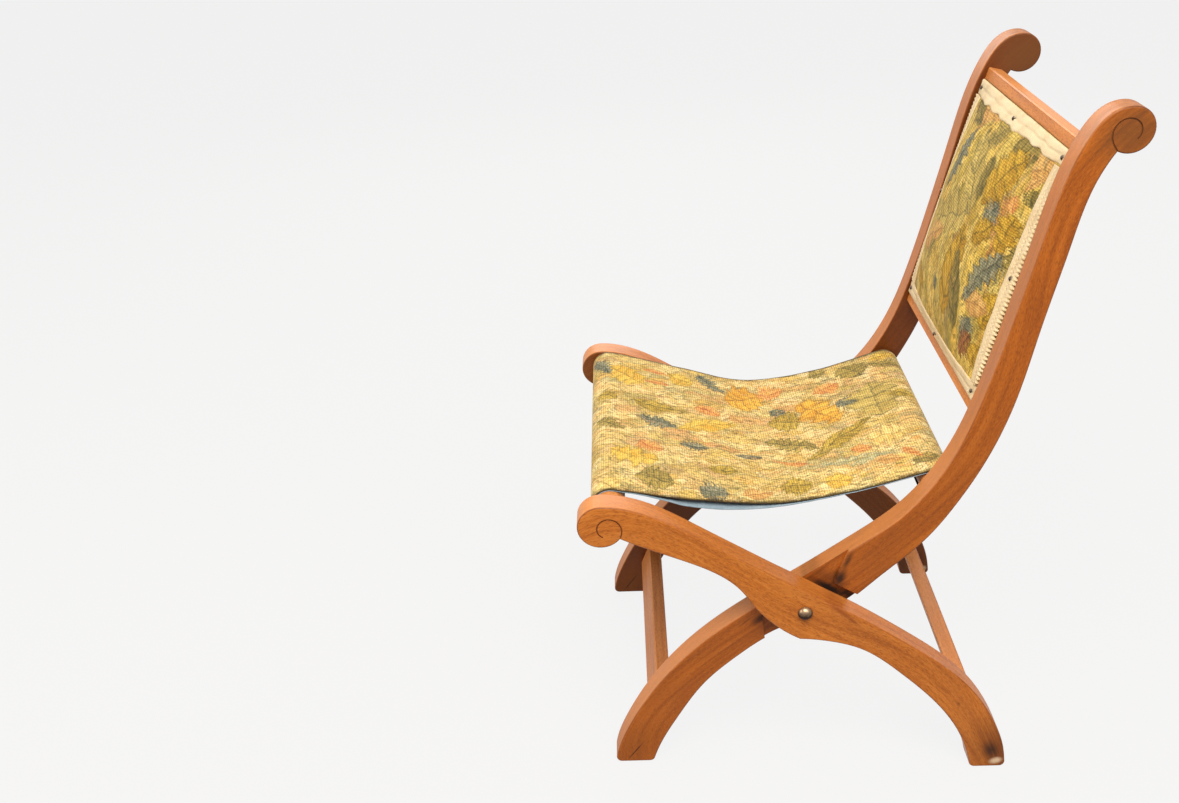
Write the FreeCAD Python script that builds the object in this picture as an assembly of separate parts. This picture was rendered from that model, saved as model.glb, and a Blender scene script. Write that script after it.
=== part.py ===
"""Folding X-frame chair with scrolled members, a sling seat and an upholstered back.

Frame: +Z up, front towards -Y, the sitter's left towards +X. The origin is on the floor,
in the middle of the chair's width and depth. All lengths are in millimetres.
"""
import FreeCAD
import Part
import math
import os

Vector = FreeCAD.Vector

# Whole chair
HEIGHT = 853.0
PIVOT_HEIGHT = 254.0
FRONT_REACH = 272.0
BACK_REACH = 342.0
HALF_WIDTH = 233.5
FOLD_ANGLE = 78.0
CUT_OVERRUN = 2.0

# Side members: two uprights inside, two seat members outside
MEMBER_THICKNESS = 32.0
LAP_DEPTH = 6.0
LAP_FLOOR_GAP = 0.5
LAP_SHOULDER_GAP = 12.6
LAP_STOP_GAP = 0.5
LAP_TOE_REACH = 52.0
LAP_TOE_LEAN = 7.0
LAP_CUT_REACH = 110.0
EDGE_ROUND = 2.2
FOOT_ROUND = 7.0
PICK_SLACK = 0.02

# Seat member, front scroll to rear foot
REAR_FOOT_REACH = 267.0
ARM_CREST_HEIGHT = 412.5
ARM_SCROLL_RADIUS = 28.0
ARM_WIDTH = 36.5
HUB_WIDTH = 63.0
REAR_HIP_WIDTH = 38.0
REAR_THIGH_WIDTH = 40.0
REAR_LEG_WIDTH = 46.5
REAR_SOLE_WIDTH = 45.5

# Upright, front foot to top scroll
FRONT_FOOT_REACH = 238.0
TOP_SCROLL_RADIUS = 25.0
FRONT_SOLE_WIDTH = 50.0
FRONT_LEG_WIDTH = 50.5
FRONT_THIGH_WIDTH = 47.0
FRONT_HIP_WIDTH = 47.5
CROSSING_WIDTH = 61.0
SEAT_LEVEL_WIDTH = 46.0
LUMBAR_WIDTH = 37.5
UPRIGHT_WIDTH = 33.0
NECK_WIDTH = 31.5

# Engraved spirals on the outer faces of the scrolls
GROOVE_WIDTH = 1.8
GROOVE_DEPTH = 1.2
ARM_EYE_BACK = 8.0
ARM_EYE_DROP = 3.0
TOP_EYE_BACK = 2.0
TOP_EYE_DROP = 2.0
EYE_END_RADIUS = 11.5
SPIRAL_TURN = 285.0
SPIRAL_POINTS = 15

# Seat rails and their round tenons
SEAT_RAIL_RADIUS = 19.0
FRONT_RAIL_SETBACK = 39.0
FRONT_RAIL_DROP = 20.5
REAR_RAIL_BACK = 162.5
REAR_RAIL_HEIGHT = 391.5
TENON_LENGTH = 15.0
TENON_RADIUS = 11.0
TENON_GAP = 0.1

# Stretchers between the legs
STRETCHER_DEPTH = 36.0
STRETCHER_THICKNESS = 20.0
STRETCHER_BEVEL = 1.5
STRETCHER_TENON_DEPTH = 24.0
STRETCHER_TENON_THICKNESS = 10.0
FRONT_STRETCHER_FORWARD = 178.0
FRONT_STRETCHER_HEIGHT = 68.0
FRONT_STRETCHER_LEAN = 21.0
REAR_STRETCHER_BACK = 228.5
REAR_STRETCHER_HEIGHT = 58.0
REAR_STRETCHER_LEAN = 18.0

# Back frame: two rails and two stiles in one leaning plane
PANEL_FOOT_BACK = 193.0
PANEL_FOOT_HEIGHT = 487.0
PANEL_LENGTH = 335.0
PANEL_LEAN = 14.5
PANEL_THICKNESS = 19.0
TOP_RAIL_DEPTH = 56.0
BOTTOM_RAIL_DEPTH = 45.0
STILE_WIDTH = 22.0
STILE_GAP = 0.15
RAIL_TENON_THICKNESS = 9.0
RAIL_TENON_MARGIN = 8.0

# Upholstery of the back
CLOTH_THICKNESS = 2.0
PANEL_CROWN = 33.0
CROWN_POWER = 2.7
CLOTH_SIDE_GAP = 4.0
CLOTH_END_MARGIN = 15.0
PAD_INSET = 24.0
SOFT_GAP = 0.3
WEB_WIDTH = 46.0
WEB_THICKNESS = 1.3
WEB_SEAT = 0.15
WEB_SIDE_MARGIN = 12.0
WEB_END_MARGIN = 24.0
BRAID_WIDTH = 20.0
BRAID_THICKNESS = 1.6
LINING_THICKNESS = 1.0
LINING_MARGIN = 9.0
CROWN_STATIONS = 9
CROWN_POINTS = 11

# Sling seat
SLING_LINING_THICKNESS = 1.0
SLING_CLOTH_THICKNESS = 2.0
SLING_SAG = 39.0
SLING_FRONT_SIDE_GAP = 5.5
SLING_SIDE_GAP = 5.0
SLING_FRONT_LEAVE_ANGLE = 78.0
SLING_REAR_LEAVE_ANGLE = 107.0
SLING_TUCK_ANGLE = 50.0

# Tacks
TACK_HEAD_RADIUS = 2.8
TACK_HEAD_HEIGHT = 1.7
TACK_PIN_RADIUS = 0.8
TACK_PIN_LENGTH = 9.0
TACK_SEAT = 0.05
TACK_HOLE_GAP = 0.15
RAIL_TACK_COUNT = 7
RAIL_TACK_EDGE = 18.0
LINING_TACK_EDGE = 5.0

# Pivot bolts
BOLT_RADIUS = 4.0
BOLT_BORE_GAP = 0.05
BOLT_HEAD_RADIUS = 9.0
BOLT_HEAD_HEIGHT = 7.8
BOLT_HEAD_RIM = 1.0
BOLT_HEAD_GAP = 0.1
BOLT_END_LENGTH = 3.0
WASHER_RADIUS = 9.5
WASHER_THICKNESS = 1.6
WASHER_SEAT = 0.05
NUT_ACROSS_FLATS = 13.0
NUT_HEIGHT = 6.5
NUT_SIDES = 6

# Outline of the seat member's top edge: (share of the reach, share of the height).
# In front of the pivot the reach is FRONT_REACH and the height counts from the pivot up to
# the arm's crest. Behind it the reach is REAR_FOOT_REACH and the height counts from the floor.
ARM_EDGE_SHARES = ((-0.724, 0.940), (-0.467, 0.696), (-0.213, 0.420), (-0.118, 0.318), (-0.026, 0.223))
REAR_LEG_EDGE_SHARES = ((0.105, 1.053), (0.232, 0.972), (0.345, 0.893), (0.536, 0.750),
                        (0.787, 0.516), (0.933, 0.268), (0.981, 0.126))
# How far the hub swells between the arm's width and its full width, towards the cusp.
HUB_SWELL_SHARES = (0.06, 0.57, 0.90)
HUB_TURN_SHARE = 0.35

# Outline of the upright's front edge, in the same way: below the pivot the reach is
# FRONT_FOOT_REACH and the height counts from the floor, above it the reach is BACK_REACH and
# the height counts from the pivot up to the top.
FRONT_LEG_EDGE_SHARES = ((-0.937, 0.205), (-0.832, 0.394), (-0.651, 0.630), (-0.466, 0.803), (-0.252, 0.957))
UPRIGHT_EDGE_SHARES = ((0.035, 0.0643), (0.184, 0.1252), (0.322, 0.187), (0.424, 0.2554), (0.506, 0.3406),
                       (0.576, 0.459), (0.643, 0.611), (0.702, 0.758), (0.754, 0.878), (0.800, 0.9435),
                       (0.8445, 0.9805), (0.887, 0.9963))
# Slope of each leg's outer edge where it meets the floor: run as a share of the rise.
FRONT_TOE_SLOPE_SHARE = 0.05
REAR_HEEL_SLOPE_SHARE = 0.12
# The notch where each scroll curls back onto its member, as an angle round the scroll.
ARM_NOTCH_ANGLE = -37.0
TOP_NOTCH_ANGLE = 243.5

# The sling between its rails: (share of the run, share of the sag), and how its plan narrows
# from the front rail to the uprights: (share of the front reach, share of the narrowing left).
SLING_SAG_SHARES = ((0.27, 0.57), (0.5, 1.0), (0.75, 0.68))
SLING_TAPER_SHARES = ((-1.0, 1.0), (-0.72, 0.85), (-0.46, 0.56), (-0.23, 0.10), (0.0, -0.05),
                      (0.17, -0.08), (0.35, -0.03), (0.50, 0.05), (0.80, 0.05))

# Places worked out from the sizes above
PIVOT_Y = (FRONT_REACH - BACK_REACH) / 2
SEAT_OUTER = HALF_WIDTH
SEAT_INNER = SEAT_OUTER - MEMBER_THICKNESS
UPRIGHT_OUTER = SEAT_INNER + LAP_DEPTH
UPRIGHT_INNER = UPRIGHT_OUTER - MEMBER_THICKNESS
PANEL_HALF_WIDTH = UPRIGHT_INNER
CLOTH_HALF_WIDTH = PANEL_HALF_WIDTH - CLOTH_SIDE_GAP
SLING_FRONT_HALF_WIDTH = SEAT_INNER - SLING_FRONT_SIDE_GAP
SLING_HALF_WIDTH = UPRIGHT_INNER - SLING_SIDE_GAP
X_AXIS = Vector(1, 0, 0)


def side(y, z):
    """Point in the side view: y counts from the pivot, z from the floor."""
    return Vector(0, PIVOT_Y + y, z)


PIVOT = side(0, PIVOT_HEIGHT)


def polar(center, radius, degrees):
    """Point round a centre in the side view, from +Y towards +Z."""
    angle = math.radians(degrees)
    return center + Vector(0, radius * math.cos(angle), radius * math.sin(angle))


def curve_through(points, first=None, last=None):
    """Smooth curve through points, with its end directions where they are given."""
    curve = Part.BSplineCurve()
    if first is None:
        curve.interpolate(points)
        return curve
    along = [0]
    for before, after in zip(points, points[1:]):
        along.append(along[-1] + (after - before).Length)
    first = Vector(first).normalize()
    last = Vector(last).normalize()
    curve.interpolate(Points=points, Parameters=along, InitialTangent=first, FinalTangent=last, Scale=False)
    return curve


def across(curve, point, width):
    """Point that lies a width away from a curve's point, below or behind it, square to it."""
    tangent = curve.tangent(curve.parameter(point))[0]
    return point + tangent.cross(X_AXIS) * width


def face_of(edges):
    """Flat face inside a closed run of edges or curves."""
    shapes = [edge.toShape() if hasattr(edge, "toShape") else edge for edge in edges]
    return Part.Face(Part.Wire(Part.__sortEdges__(shapes)))


def slab(face, x_low, x_high):
    """Side-view face made solid between two places across the chair."""
    moved = face.copy()
    moved.translate(Vector(x_low, 0, 0))
    return moved.extrude(Vector(x_high - x_low, 0, 0))


def mirrored(shape):
    """The same shape for the other side of the chair."""
    return shape.mirror(Vector(0, 0, 0), X_AXIS)


def rod(radius, start, direction, length):
    """Round bar from a point along a direction."""
    return Part.makeCylinder(radius, length, start, direction)


def box_at(center, lean, depth, thickness, x_low, x_high):
    """Bar across the chair: depth runs along a line that leans back from upright."""
    along = Vector(0, math.sin(math.radians(lean)), math.cos(math.radians(lean)))
    square = Vector(0, math.cos(math.radians(lean)), -math.sin(math.radians(lean)))
    corner_low = center - along * (depth / 2) - square * (thickness / 2)
    corners = [corner_low, corner_low + along * depth]
    corners.append(corners[1] + square * thickness)
    corners.append(corner_low + square * thickness)
    corners.append(corner_low)
    return slab(Part.Face(Part.makePolygon(corners)), x_low, x_high)


def shares_to_points(shares, reach, height_from, height_to):
    """Outline shares as points in the side view."""
    return [side(y * reach, height_from + z * (height_to - height_from)) for y, z in shares]


def arm_scroll_center():
    """Middle of the scroll at the front of a seat member."""
    return side(ARM_SCROLL_RADIUS - FRONT_REACH, ARM_CREST_HEIGHT - ARM_SCROLL_RADIUS)


def top_scroll_center():
    """Middle of the scroll at the top of an upright."""
    return side(BACK_REACH - TOP_SCROLL_RADIUS, HEIGHT - TOP_SCROLL_RADIUS)


def seat_member_edge():
    """Top edge of the seat member: its points and the curve through them."""
    crest = polar(arm_scroll_center(), ARM_SCROLL_RADIUS, 90)
    points = [crest]
    points += shares_to_points(ARM_EDGE_SHARES, FRONT_REACH, PIVOT_HEIGHT, ARM_CREST_HEIGHT)
    points += shares_to_points(REAR_LEG_EDGE_SHARES, REAR_FOOT_REACH, 0, PIVOT_HEIGHT)
    points.append(side(REAR_FOOT_REACH, 0))
    return points, curve_through(points, Vector(0, 1, 0), Vector(0, REAR_HEEL_SLOPE_SHARE, -1))


def seat_member_face():
    """Side-view outline of the seat member."""
    points, edge = seat_member_edge()
    swell = [ARM_WIDTH + share * (HUB_WIDTH - ARM_WIDTH) for share in HUB_SWELL_SHARES]
    arm_under = [across(edge, points[2], ARM_WIDTH)]
    arm_under += [across(edge, points[3 + i], width) for i, width in enumerate(swell)]
    cusp = across(edge, points[6], HUB_WIDTH)
    turn_width = REAR_HIP_WIDTH + HUB_TURN_SHARE * (HUB_WIDTH - REAR_HIP_WIDTH)
    leg_widths = (turn_width, REAR_HIP_WIDTH, REAR_THIGH_WIDTH, REAR_LEG_WIDTH, REAR_LEG_WIDTH,
                  REAR_LEG_WIDTH)
    arch = [cusp]
    arch += [across(edge, points[7 + i], width) for i, width in enumerate(leg_widths)]
    heel = side(REAR_FOOT_REACH - REAR_SOLE_WIDTH, 0)
    arch.append(heel)
    notch = polar(arm_scroll_center(), ARM_SCROLL_RADIUS, ARM_NOTCH_ANGLE)
    under = curve_through([notch] + arm_under + [cusp])
    scroll = Part.Arc(notch, polar(arm_scroll_center(), ARM_SCROLL_RADIUS, 180), points[0])
    sole = Part.LineSegment(points[-1], heel)
    return face_of([edge, sole, curve_through(arch), under, scroll])


def upright_edge():
    """Front edge of the upright: its points and the curve through them."""
    points = [side(-FRONT_FOOT_REACH, 0)]
    points += shares_to_points(FRONT_LEG_EDGE_SHARES, FRONT_FOOT_REACH, 0, PIVOT_HEIGHT)
    points += shares_to_points(UPRIGHT_EDGE_SHARES, BACK_REACH, PIVOT_HEIGHT, HEIGHT)
    points.append(polar(top_scroll_center(), TOP_SCROLL_RADIUS, 90))
    return points, curve_through(points, Vector(0, FRONT_TOE_SLOPE_SHARE, 1), Vector(0, 1, 0))


def upright_widths():
    """Width of the upright at each point of its front edge between sole and scroll."""
    return (FRONT_LEG_WIDTH, FRONT_LEG_WIDTH, FRONT_THIGH_WIDTH, FRONT_THIGH_WIDTH, FRONT_HIP_WIDTH,
            CROSSING_WIDTH, (CROSSING_WIDTH + SEAT_LEVEL_WIDTH) / 2, SEAT_LEVEL_WIDTH,
            (SEAT_LEVEL_WIDTH + UPRIGHT_WIDTH) / 2, LUMBAR_WIDTH, LUMBAR_WIDTH, UPRIGHT_WIDTH,
            NECK_WIDTH, NECK_WIDTH)


def upright_face():
    """Side-view outline of the upright."""
    points, edge = upright_edge()
    heel = side(FRONT_SOLE_WIDTH - FRONT_FOOT_REACH, 0)
    rear = [heel]
    rear += [across(edge, points[1 + i], width) for i, width in enumerate(upright_widths())]
    notch = polar(top_scroll_center(), TOP_SCROLL_RADIUS, TOP_NOTCH_ANGLE)
    rear.append(notch)
    scroll = Part.Arc(notch, polar(top_scroll_center(), TOP_SCROLL_RADIUS, 0), points[-1])
    sole = Part.LineSegment(points[0], heel)
    return face_of([edge, sole, curve_through(rear), scroll])


def lap_corner(lean, reach):
    """Upper corner of the lap, on the line that stops the folded seat member's top edge."""
    angle_open = math.radians(90 - lean)
    angle_folded = angle_open - math.radians(FOLD_ANGLE)
    stop = reach + LAP_STOP_GAP
    shoulder = reach + LAP_SHOULDER_GAP
    turn = math.sin(angle_open - angle_folded)
    y = (stop * math.sin(angle_open) - shoulder * math.sin(angle_folded)) / turn
    z = (shoulder * math.cos(angle_folded) - stop * math.cos(angle_open)) / turn
    return PIVOT + Vector(0, y, z)


def lap_cutter():
    """The recess in an upright's outer face, where the seat member's hub lies and turns."""
    points, edge = seat_member_edge()
    tangent = edge.tangent(edge.parameter(points[6]))[0]
    lean = math.degrees(math.atan2(-tangent.z, tangent.y))
    square = tangent.cross(X_AXIS) * -1
    reach = max((point - PIVOT).dot(square) for point in points)
    corner = lap_corner(lean, reach)
    toe = PIVOT - Vector(0, LAP_TOE_REACH, 0)
    outline = [corner,
               polar(corner, LAP_CUT_REACH, -lean),
               polar(toe, LAP_CUT_REACH, LAP_TOE_LEAN - 90),
               polar(toe, LAP_CUT_REACH, LAP_TOE_LEAN + 90),
               polar(corner, LAP_CUT_REACH, 180 - lean - FOLD_ANGLE),
               corner]
    floor = SEAT_INNER - LAP_FLOOR_GAP
    return slab(Part.Face(Part.makePolygon(outline)), floor, UPRIGHT_OUTER + CUT_OVERRUN)


def spiral_cutter(scroll_center, notch_angle, scroll_radius, eye, clockwise, outer_x):
    """Groove that winds in from the scroll's notch, cut into its outer face."""
    notch = polar(scroll_center, scroll_radius, notch_angle) - eye
    start_radius = notch.Length
    start_angle = math.degrees(math.atan2(notch.z, notch.y))
    turn = -1 if clockwise else 1
    inner, outer = [], []
    for i in range(SPIRAL_POINTS):
        part = i / (SPIRAL_POINTS - 1)
        radius = start_radius + (EYE_END_RADIUS - start_radius) * math.sqrt(part)
        angle = start_angle + turn * SPIRAL_TURN * part
        inner.append(polar(eye, radius - GROOVE_WIDTH / 2, angle))
        outer.append(polar(eye, radius + GROOVE_WIDTH / 2, angle))
    edges = [curve_through(inner), Part.LineSegment(inner[-1], outer[-1]),
             curve_through(outer), Part.LineSegment(outer[0], inner[0])]
    return slab(face_of(edges), outer_x - GROOVE_DEPTH, outer_x + CUT_OVERRUN)


def rounded_feet(solid, sole_points):
    """Round the corners at the two ends of a sole."""
    edges = []
    for edge in solid.Edges:
        middle = edge.CenterOfMass
        for point in sole_points:
            offset = Vector(0, middle.y - point.y, middle.z - point.z)
            if offset.Length < PICK_SLACK:
                edges.append(edge)
    return solid.makeFillet(FOOT_ROUND, edges)


def eased(solid, x_values):
    """Ease the long arrises of a member along its outer and inner faces."""
    edges = []
    for edge in solid.Edges:
        box = edge.BoundBox
        flat = box.XLength < PICK_SLACK
        if flat and any(abs(box.XMin - x) < PICK_SLACK for x in x_values):
            edges.append(edge)
    return solid.makeFillet(EDGE_ROUND, edges)


def pivot_bore(x_low, x_high):
    """Hole for the pivot bolt."""
    start = Vector(x_low, PIVOT.y, PIVOT.z)
    return rod(BOLT_RADIUS + BOLT_BORE_GAP, start, X_AXIS, x_high - x_low)


def front_rail_center():
    """Axis of the seat's front rail in the side view."""
    return side(FRONT_RAIL_SETBACK - FRONT_REACH, ARM_CREST_HEIGHT - FRONT_RAIL_DROP)


def rear_rail_center():
    """Axis of the seat's rear rail in the side view."""
    return side(REAR_RAIL_BACK, REAR_RAIL_HEIGHT)


def rail_mortise(center, inner_x):
    """Round blind mortise for a seat rail."""
    start = Vector(inner_x - CUT_OVERRUN, center.y, center.z)
    length = TENON_LENGTH + TENON_GAP + CUT_OVERRUN
    return rod(TENON_RADIUS + TENON_GAP, start, X_AXIS, length)


def stretcher_mortise(center, lean, inner_x):
    """Rectangular blind mortise for a stretcher."""
    depth = STRETCHER_TENON_DEPTH + 2 * TENON_GAP
    thickness = STRETCHER_TENON_THICKNESS + 2 * TENON_GAP
    far = inner_x + TENON_LENGTH + TENON_GAP
    return box_at(center, lean, depth, thickness, inner_x - CUT_OVERRUN, far)


def front_stretcher_center():
    """Middle of the bar between the front legs."""
    return side(-FRONT_STRETCHER_FORWARD, FRONT_STRETCHER_HEIGHT)


def rear_stretcher_center():
    """Middle of the bar between the rear legs."""
    return side(REAR_STRETCHER_BACK, REAR_STRETCHER_HEIGHT)


def make_seat_member():
    """Left seat member: scroll, arm, hub, rear leg, mortises and bolt hole."""
    points, edge = seat_member_edge()
    solid = slab(seat_member_face(), SEAT_INNER, SEAT_OUTER)
    solid = rounded_feet(solid, (points[-1], side(REAR_FOOT_REACH - REAR_SOLE_WIDTH, 0)))
    solid = eased(solid, (SEAT_INNER, SEAT_OUTER))
    eye = arm_scroll_center() + Vector(0, ARM_EYE_BACK, -ARM_EYE_DROP)
    solid = solid.cut(spiral_cutter(arm_scroll_center(), ARM_NOTCH_ANGLE, ARM_SCROLL_RADIUS, eye,
                                    False, SEAT_OUTER))
    solid = solid.cut(rail_mortise(front_rail_center(), SEAT_INNER))
    solid = solid.cut(stretcher_mortise(rear_stretcher_center(), -REAR_STRETCHER_LEAN, SEAT_INNER))
    return solid.cut(pivot_bore(SEAT_INNER - CUT_OVERRUN, SEAT_OUTER + CUT_OVERRUN))


def make_upright():
    """Left upright: front leg, lap, back, scroll, mortises and bolt hole."""
    points, edge = upright_edge()
    solid = slab(upright_face(), UPRIGHT_INNER, UPRIGHT_OUTER)
    solid = rounded_feet(solid, (points[0], side(FRONT_SOLE_WIDTH - FRONT_FOOT_REACH, 0)))
    solid = eased(solid, (UPRIGHT_INNER, UPRIGHT_OUTER))
    eye = top_scroll_center() + Vector(0, -TOP_EYE_BACK, -TOP_EYE_DROP)
    solid = solid.cut(spiral_cutter(top_scroll_center(), TOP_NOTCH_ANGLE, TOP_SCROLL_RADIUS, eye,
                                    True, UPRIGHT_OUTER))
    solid = solid.cut(lap_cutter())
    solid = solid.cut(rail_mortise(rear_rail_center(), UPRIGHT_INNER))
    solid = solid.cut(stretcher_mortise(front_stretcher_center(), FRONT_STRETCHER_LEAN, UPRIGHT_INNER))
    for low, depth in ((0, BOTTOM_RAIL_DEPTH), (PANEL_LENGTH - TOP_RAIL_DEPTH, TOP_RAIL_DEPTH)):
        solid = solid.cut(panel_rail_tenon(low, depth, TENON_GAP, UPRIGHT_INNER - CUT_OVERRUN,
                                           UPRIGHT_INNER + TENON_LENGTH + TENON_GAP))
    return solid.cut(pivot_bore(UPRIGHT_INNER - CUT_OVERRUN, UPRIGHT_OUTER + CUT_OVERRUN))


def make_seat_rail(center, inner_x):
    """Round rail with a turned tenon at each end."""
    body = rod(SEAT_RAIL_RADIUS, Vector(-inner_x, center.y, center.z), X_AXIS, 2 * inner_x)
    reach = inner_x + TENON_LENGTH
    tenons = rod(TENON_RADIUS, Vector(-reach, center.y, center.z), X_AXIS, 2 * reach)
    return body.fuse(tenons).removeSplitter()


def make_stretcher(center, lean, inner_x):
    """Bar with bevelled long edges and a flat tenon at each end."""
    body = box_at(center, lean, STRETCHER_DEPTH, STRETCHER_THICKNESS, -inner_x, inner_x)
    long_edges = [edge for edge in body.Edges if edge.BoundBox.XLength > inner_x]
    body = body.makeChamfer(STRETCHER_BEVEL, long_edges)
    reach = inner_x + TENON_LENGTH
    tenon = box_at(center, lean, STRETCHER_TENON_DEPTH, STRETCHER_TENON_THICKNESS, -reach, reach)
    return body.fuse(tenon).removeSplitter()


def panel_point(x, up, back):
    """Point of the leaning back: up from its foot, and back from its front plane."""
    lean = math.radians(PANEL_LEAN)
    foot = side(PANEL_FOOT_BACK, PANEL_FOOT_HEIGHT)
    return foot + Vector(x, up * math.sin(lean) + back * math.cos(lean),
                         up * math.cos(lean) - back * math.sin(lean))


def panel_box(x_low, x_high, up_low, up_high, back_low, back_high):
    """Block that lies square to the leaning back."""
    corners = [panel_point(x_low, up_low, back_low), panel_point(x_low, up_high, back_low),
               panel_point(x_low, up_high, back_high), panel_point(x_low, up_low, back_high)]
    corners.append(corners[0])
    return Part.Face(Part.makePolygon(corners)).extrude(Vector(x_high - x_low, 0, 0))


def panel_rail_tenon(up_low, depth, gap, x_low, x_high):
    """Tenon of a back rail, or its mortise where a gap is given."""
    margin = RAIL_TENON_MARGIN - gap
    back_low = (PANEL_THICKNESS - RAIL_TENON_THICKNESS) / 2 - gap
    back_high = back_low + RAIL_TENON_THICKNESS + 2 * gap
    return panel_box(x_low, x_high, up_low + margin, up_low + depth - margin, back_low, back_high)


def make_back_rail(up_low, depth):
    """Flat rail of the back with a tenon at each end."""
    body = panel_box(-UPRIGHT_INNER, UPRIGHT_INNER, up_low, up_low + depth, 0, PANEL_THICKNESS)
    long_edges = [edge for edge in body.Edges if edge.BoundBox.XLength > UPRIGHT_INNER]
    body = body.makeChamfer(STRETCHER_BEVEL, long_edges)
    reach = UPRIGHT_INNER + TENON_LENGTH
    return body.fuse(panel_rail_tenon(up_low, depth, 0, -reach, reach)).removeSplitter()


def make_stile():
    """Left stile of the back, between its rails and against the upright."""
    return panel_box(PANEL_HALF_WIDTH - STILE_WIDTH, PANEL_HALF_WIDTH - STILE_GAP,
                     BOTTOM_RAIL_DEPTH + STILE_GAP, PANEL_LENGTH - TOP_RAIL_DEPTH - STILE_GAP,
                     0, PANEL_THICKNESS)


def crown_at(x, up):
    """How far the padded back stands forward at a place."""
    low = CLOTH_END_MARGIN
    high = PANEL_LENGTH - CLOTH_END_MARGIN
    across_part = abs(x) / CLOTH_HALF_WIDTH
    up_part = abs(2 * up - low - high) / (high - low)
    across_fall = 1 - min(across_part, 1) ** CROWN_POWER
    up_fall = 1 - min(up_part, 1) ** CROWN_POWER
    return PANEL_CROWN * across_fall * up_fall


def highest_crown(x, up, reach):
    """Greatest crown within a reach of a place."""
    rim = [-reach, 0, reach]
    return max(crown_at(x + dx, up + du) for dx in rim for du in rim)


def crown_layer(x_low, x_high, up_low, up_high, outer, inner, flat_inner=None):
    """Layer that follows the crown, or one that is flat behind where flat_inner is given."""
    wires = []
    for i in range(CROWN_STATIONS):
        up = up_low + (up_high - up_low) * i / (CROWN_STATIONS - 1)
        front, rear = [], []
        for k in range(CROWN_POINTS):
            x = x_low + (x_high - x_low) * k / (CROWN_POINTS - 1)
            crown = crown_at(x, up)
            front.append(panel_point(x, up, -crown - outer))
            rear.append(panel_point(x, up, -crown - inner if flat_inner is None else -flat_inner))
        rear_curve = curve_through(rear) if flat_inner is None else Part.LineSegment(rear[0], rear[-1])
        edges = [curve_through(front).toShape(), Part.LineSegment(front[-1], rear[-1]).toShape(),
                 rear_curve.toShape(), Part.LineSegment(rear[0], front[0]).toShape()]
        wires.append(Part.Wire(Part.__sortEdges__(edges)))
    return Part.makeLoft(wires, True, False)


def make_back_cloth():
    """Tapestry over the crowned back."""
    return crown_layer(-CLOTH_HALF_WIDTH, CLOTH_HALF_WIDTH, CLOTH_END_MARGIN,
                       PANEL_LENGTH - CLOTH_END_MARGIN, SOFT_GAP / 2 + CLOTH_THICKNESS, SOFT_GAP / 2)


def make_back_padding():
    """Pad under the tapestry."""
    low = CLOTH_END_MARGIN + PAD_INSET
    high = PANEL_LENGTH - CLOTH_END_MARGIN - PAD_INSET
    half = CLOTH_HALF_WIDTH - PAD_INSET
    rear = WEB_SEAT + 2 * (WEB_THICKNESS + WEB_SEAT)
    return crown_layer(-half, half, low, high, -SOFT_GAP, 0, rear)


def make_webbing():
    """Three straps up and three across, in two layers in front of the back frame."""
    straps = []
    half = PANEL_HALF_WIDTH - WEB_SIDE_MARGIN
    low = WEB_END_MARGIN
    high = PANEL_LENGTH - WEB_END_MARGIN
    for i in (-1, 0, 1):
        x = i * (half - PAD_INSET) * 2 / 3
        straps.append(panel_box(x - WEB_WIDTH / 2, x + WEB_WIDTH / 2, low, high,
                                -WEB_THICKNESS - WEB_SEAT, -WEB_SEAT))
        up = (low + high) / 2 + i * (high - low) / 4
        straps.append(panel_box(-half, half, up - WEB_WIDTH / 2, up + WEB_WIDTH / 2,
                                -2 * (WEB_THICKNESS + WEB_SEAT), -WEB_THICKNESS - 2 * WEB_SEAT))
    return Part.makeCompound(straps)


def make_back_lining():
    """Flat lining behind the back."""
    return panel_box(LINING_MARGIN - PANEL_HALF_WIDTH, PANEL_HALF_WIDTH - LINING_MARGIN,
                     LINING_MARGIN, PANEL_LENGTH - LINING_MARGIN,
                     PANEL_THICKNESS + TACK_SEAT, PANEL_THICKNESS + TACK_SEAT + LINING_THICKNESS)


def braid_strip(x_low, x_high, up_low, up_high):
    """Braid over the tapestry's edge."""
    inner = SOFT_GAP + CLOTH_THICKNESS
    return crown_layer(x_low, x_high, up_low, up_high, inner + BRAID_THICKNESS, inner)


def make_braids():
    """The four braids by name."""
    low = CLOTH_END_MARGIN
    high = PANEL_LENGTH - CLOTH_END_MARGIN
    half = CLOTH_HALF_WIDTH
    side_low = low + BRAID_WIDTH + SOFT_GAP
    side_high = high - BRAID_WIDTH - SOFT_GAP
    left = braid_strip(half - BRAID_WIDTH, half, side_low, side_high)
    return {"braid_bottom": braid_strip(-half, half, low, low + BRAID_WIDTH),
            "braid_top": braid_strip(-half, half, high - BRAID_WIDTH, high),
            "braid_left": left,
            "braid_right": mirrored(left)}


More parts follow.
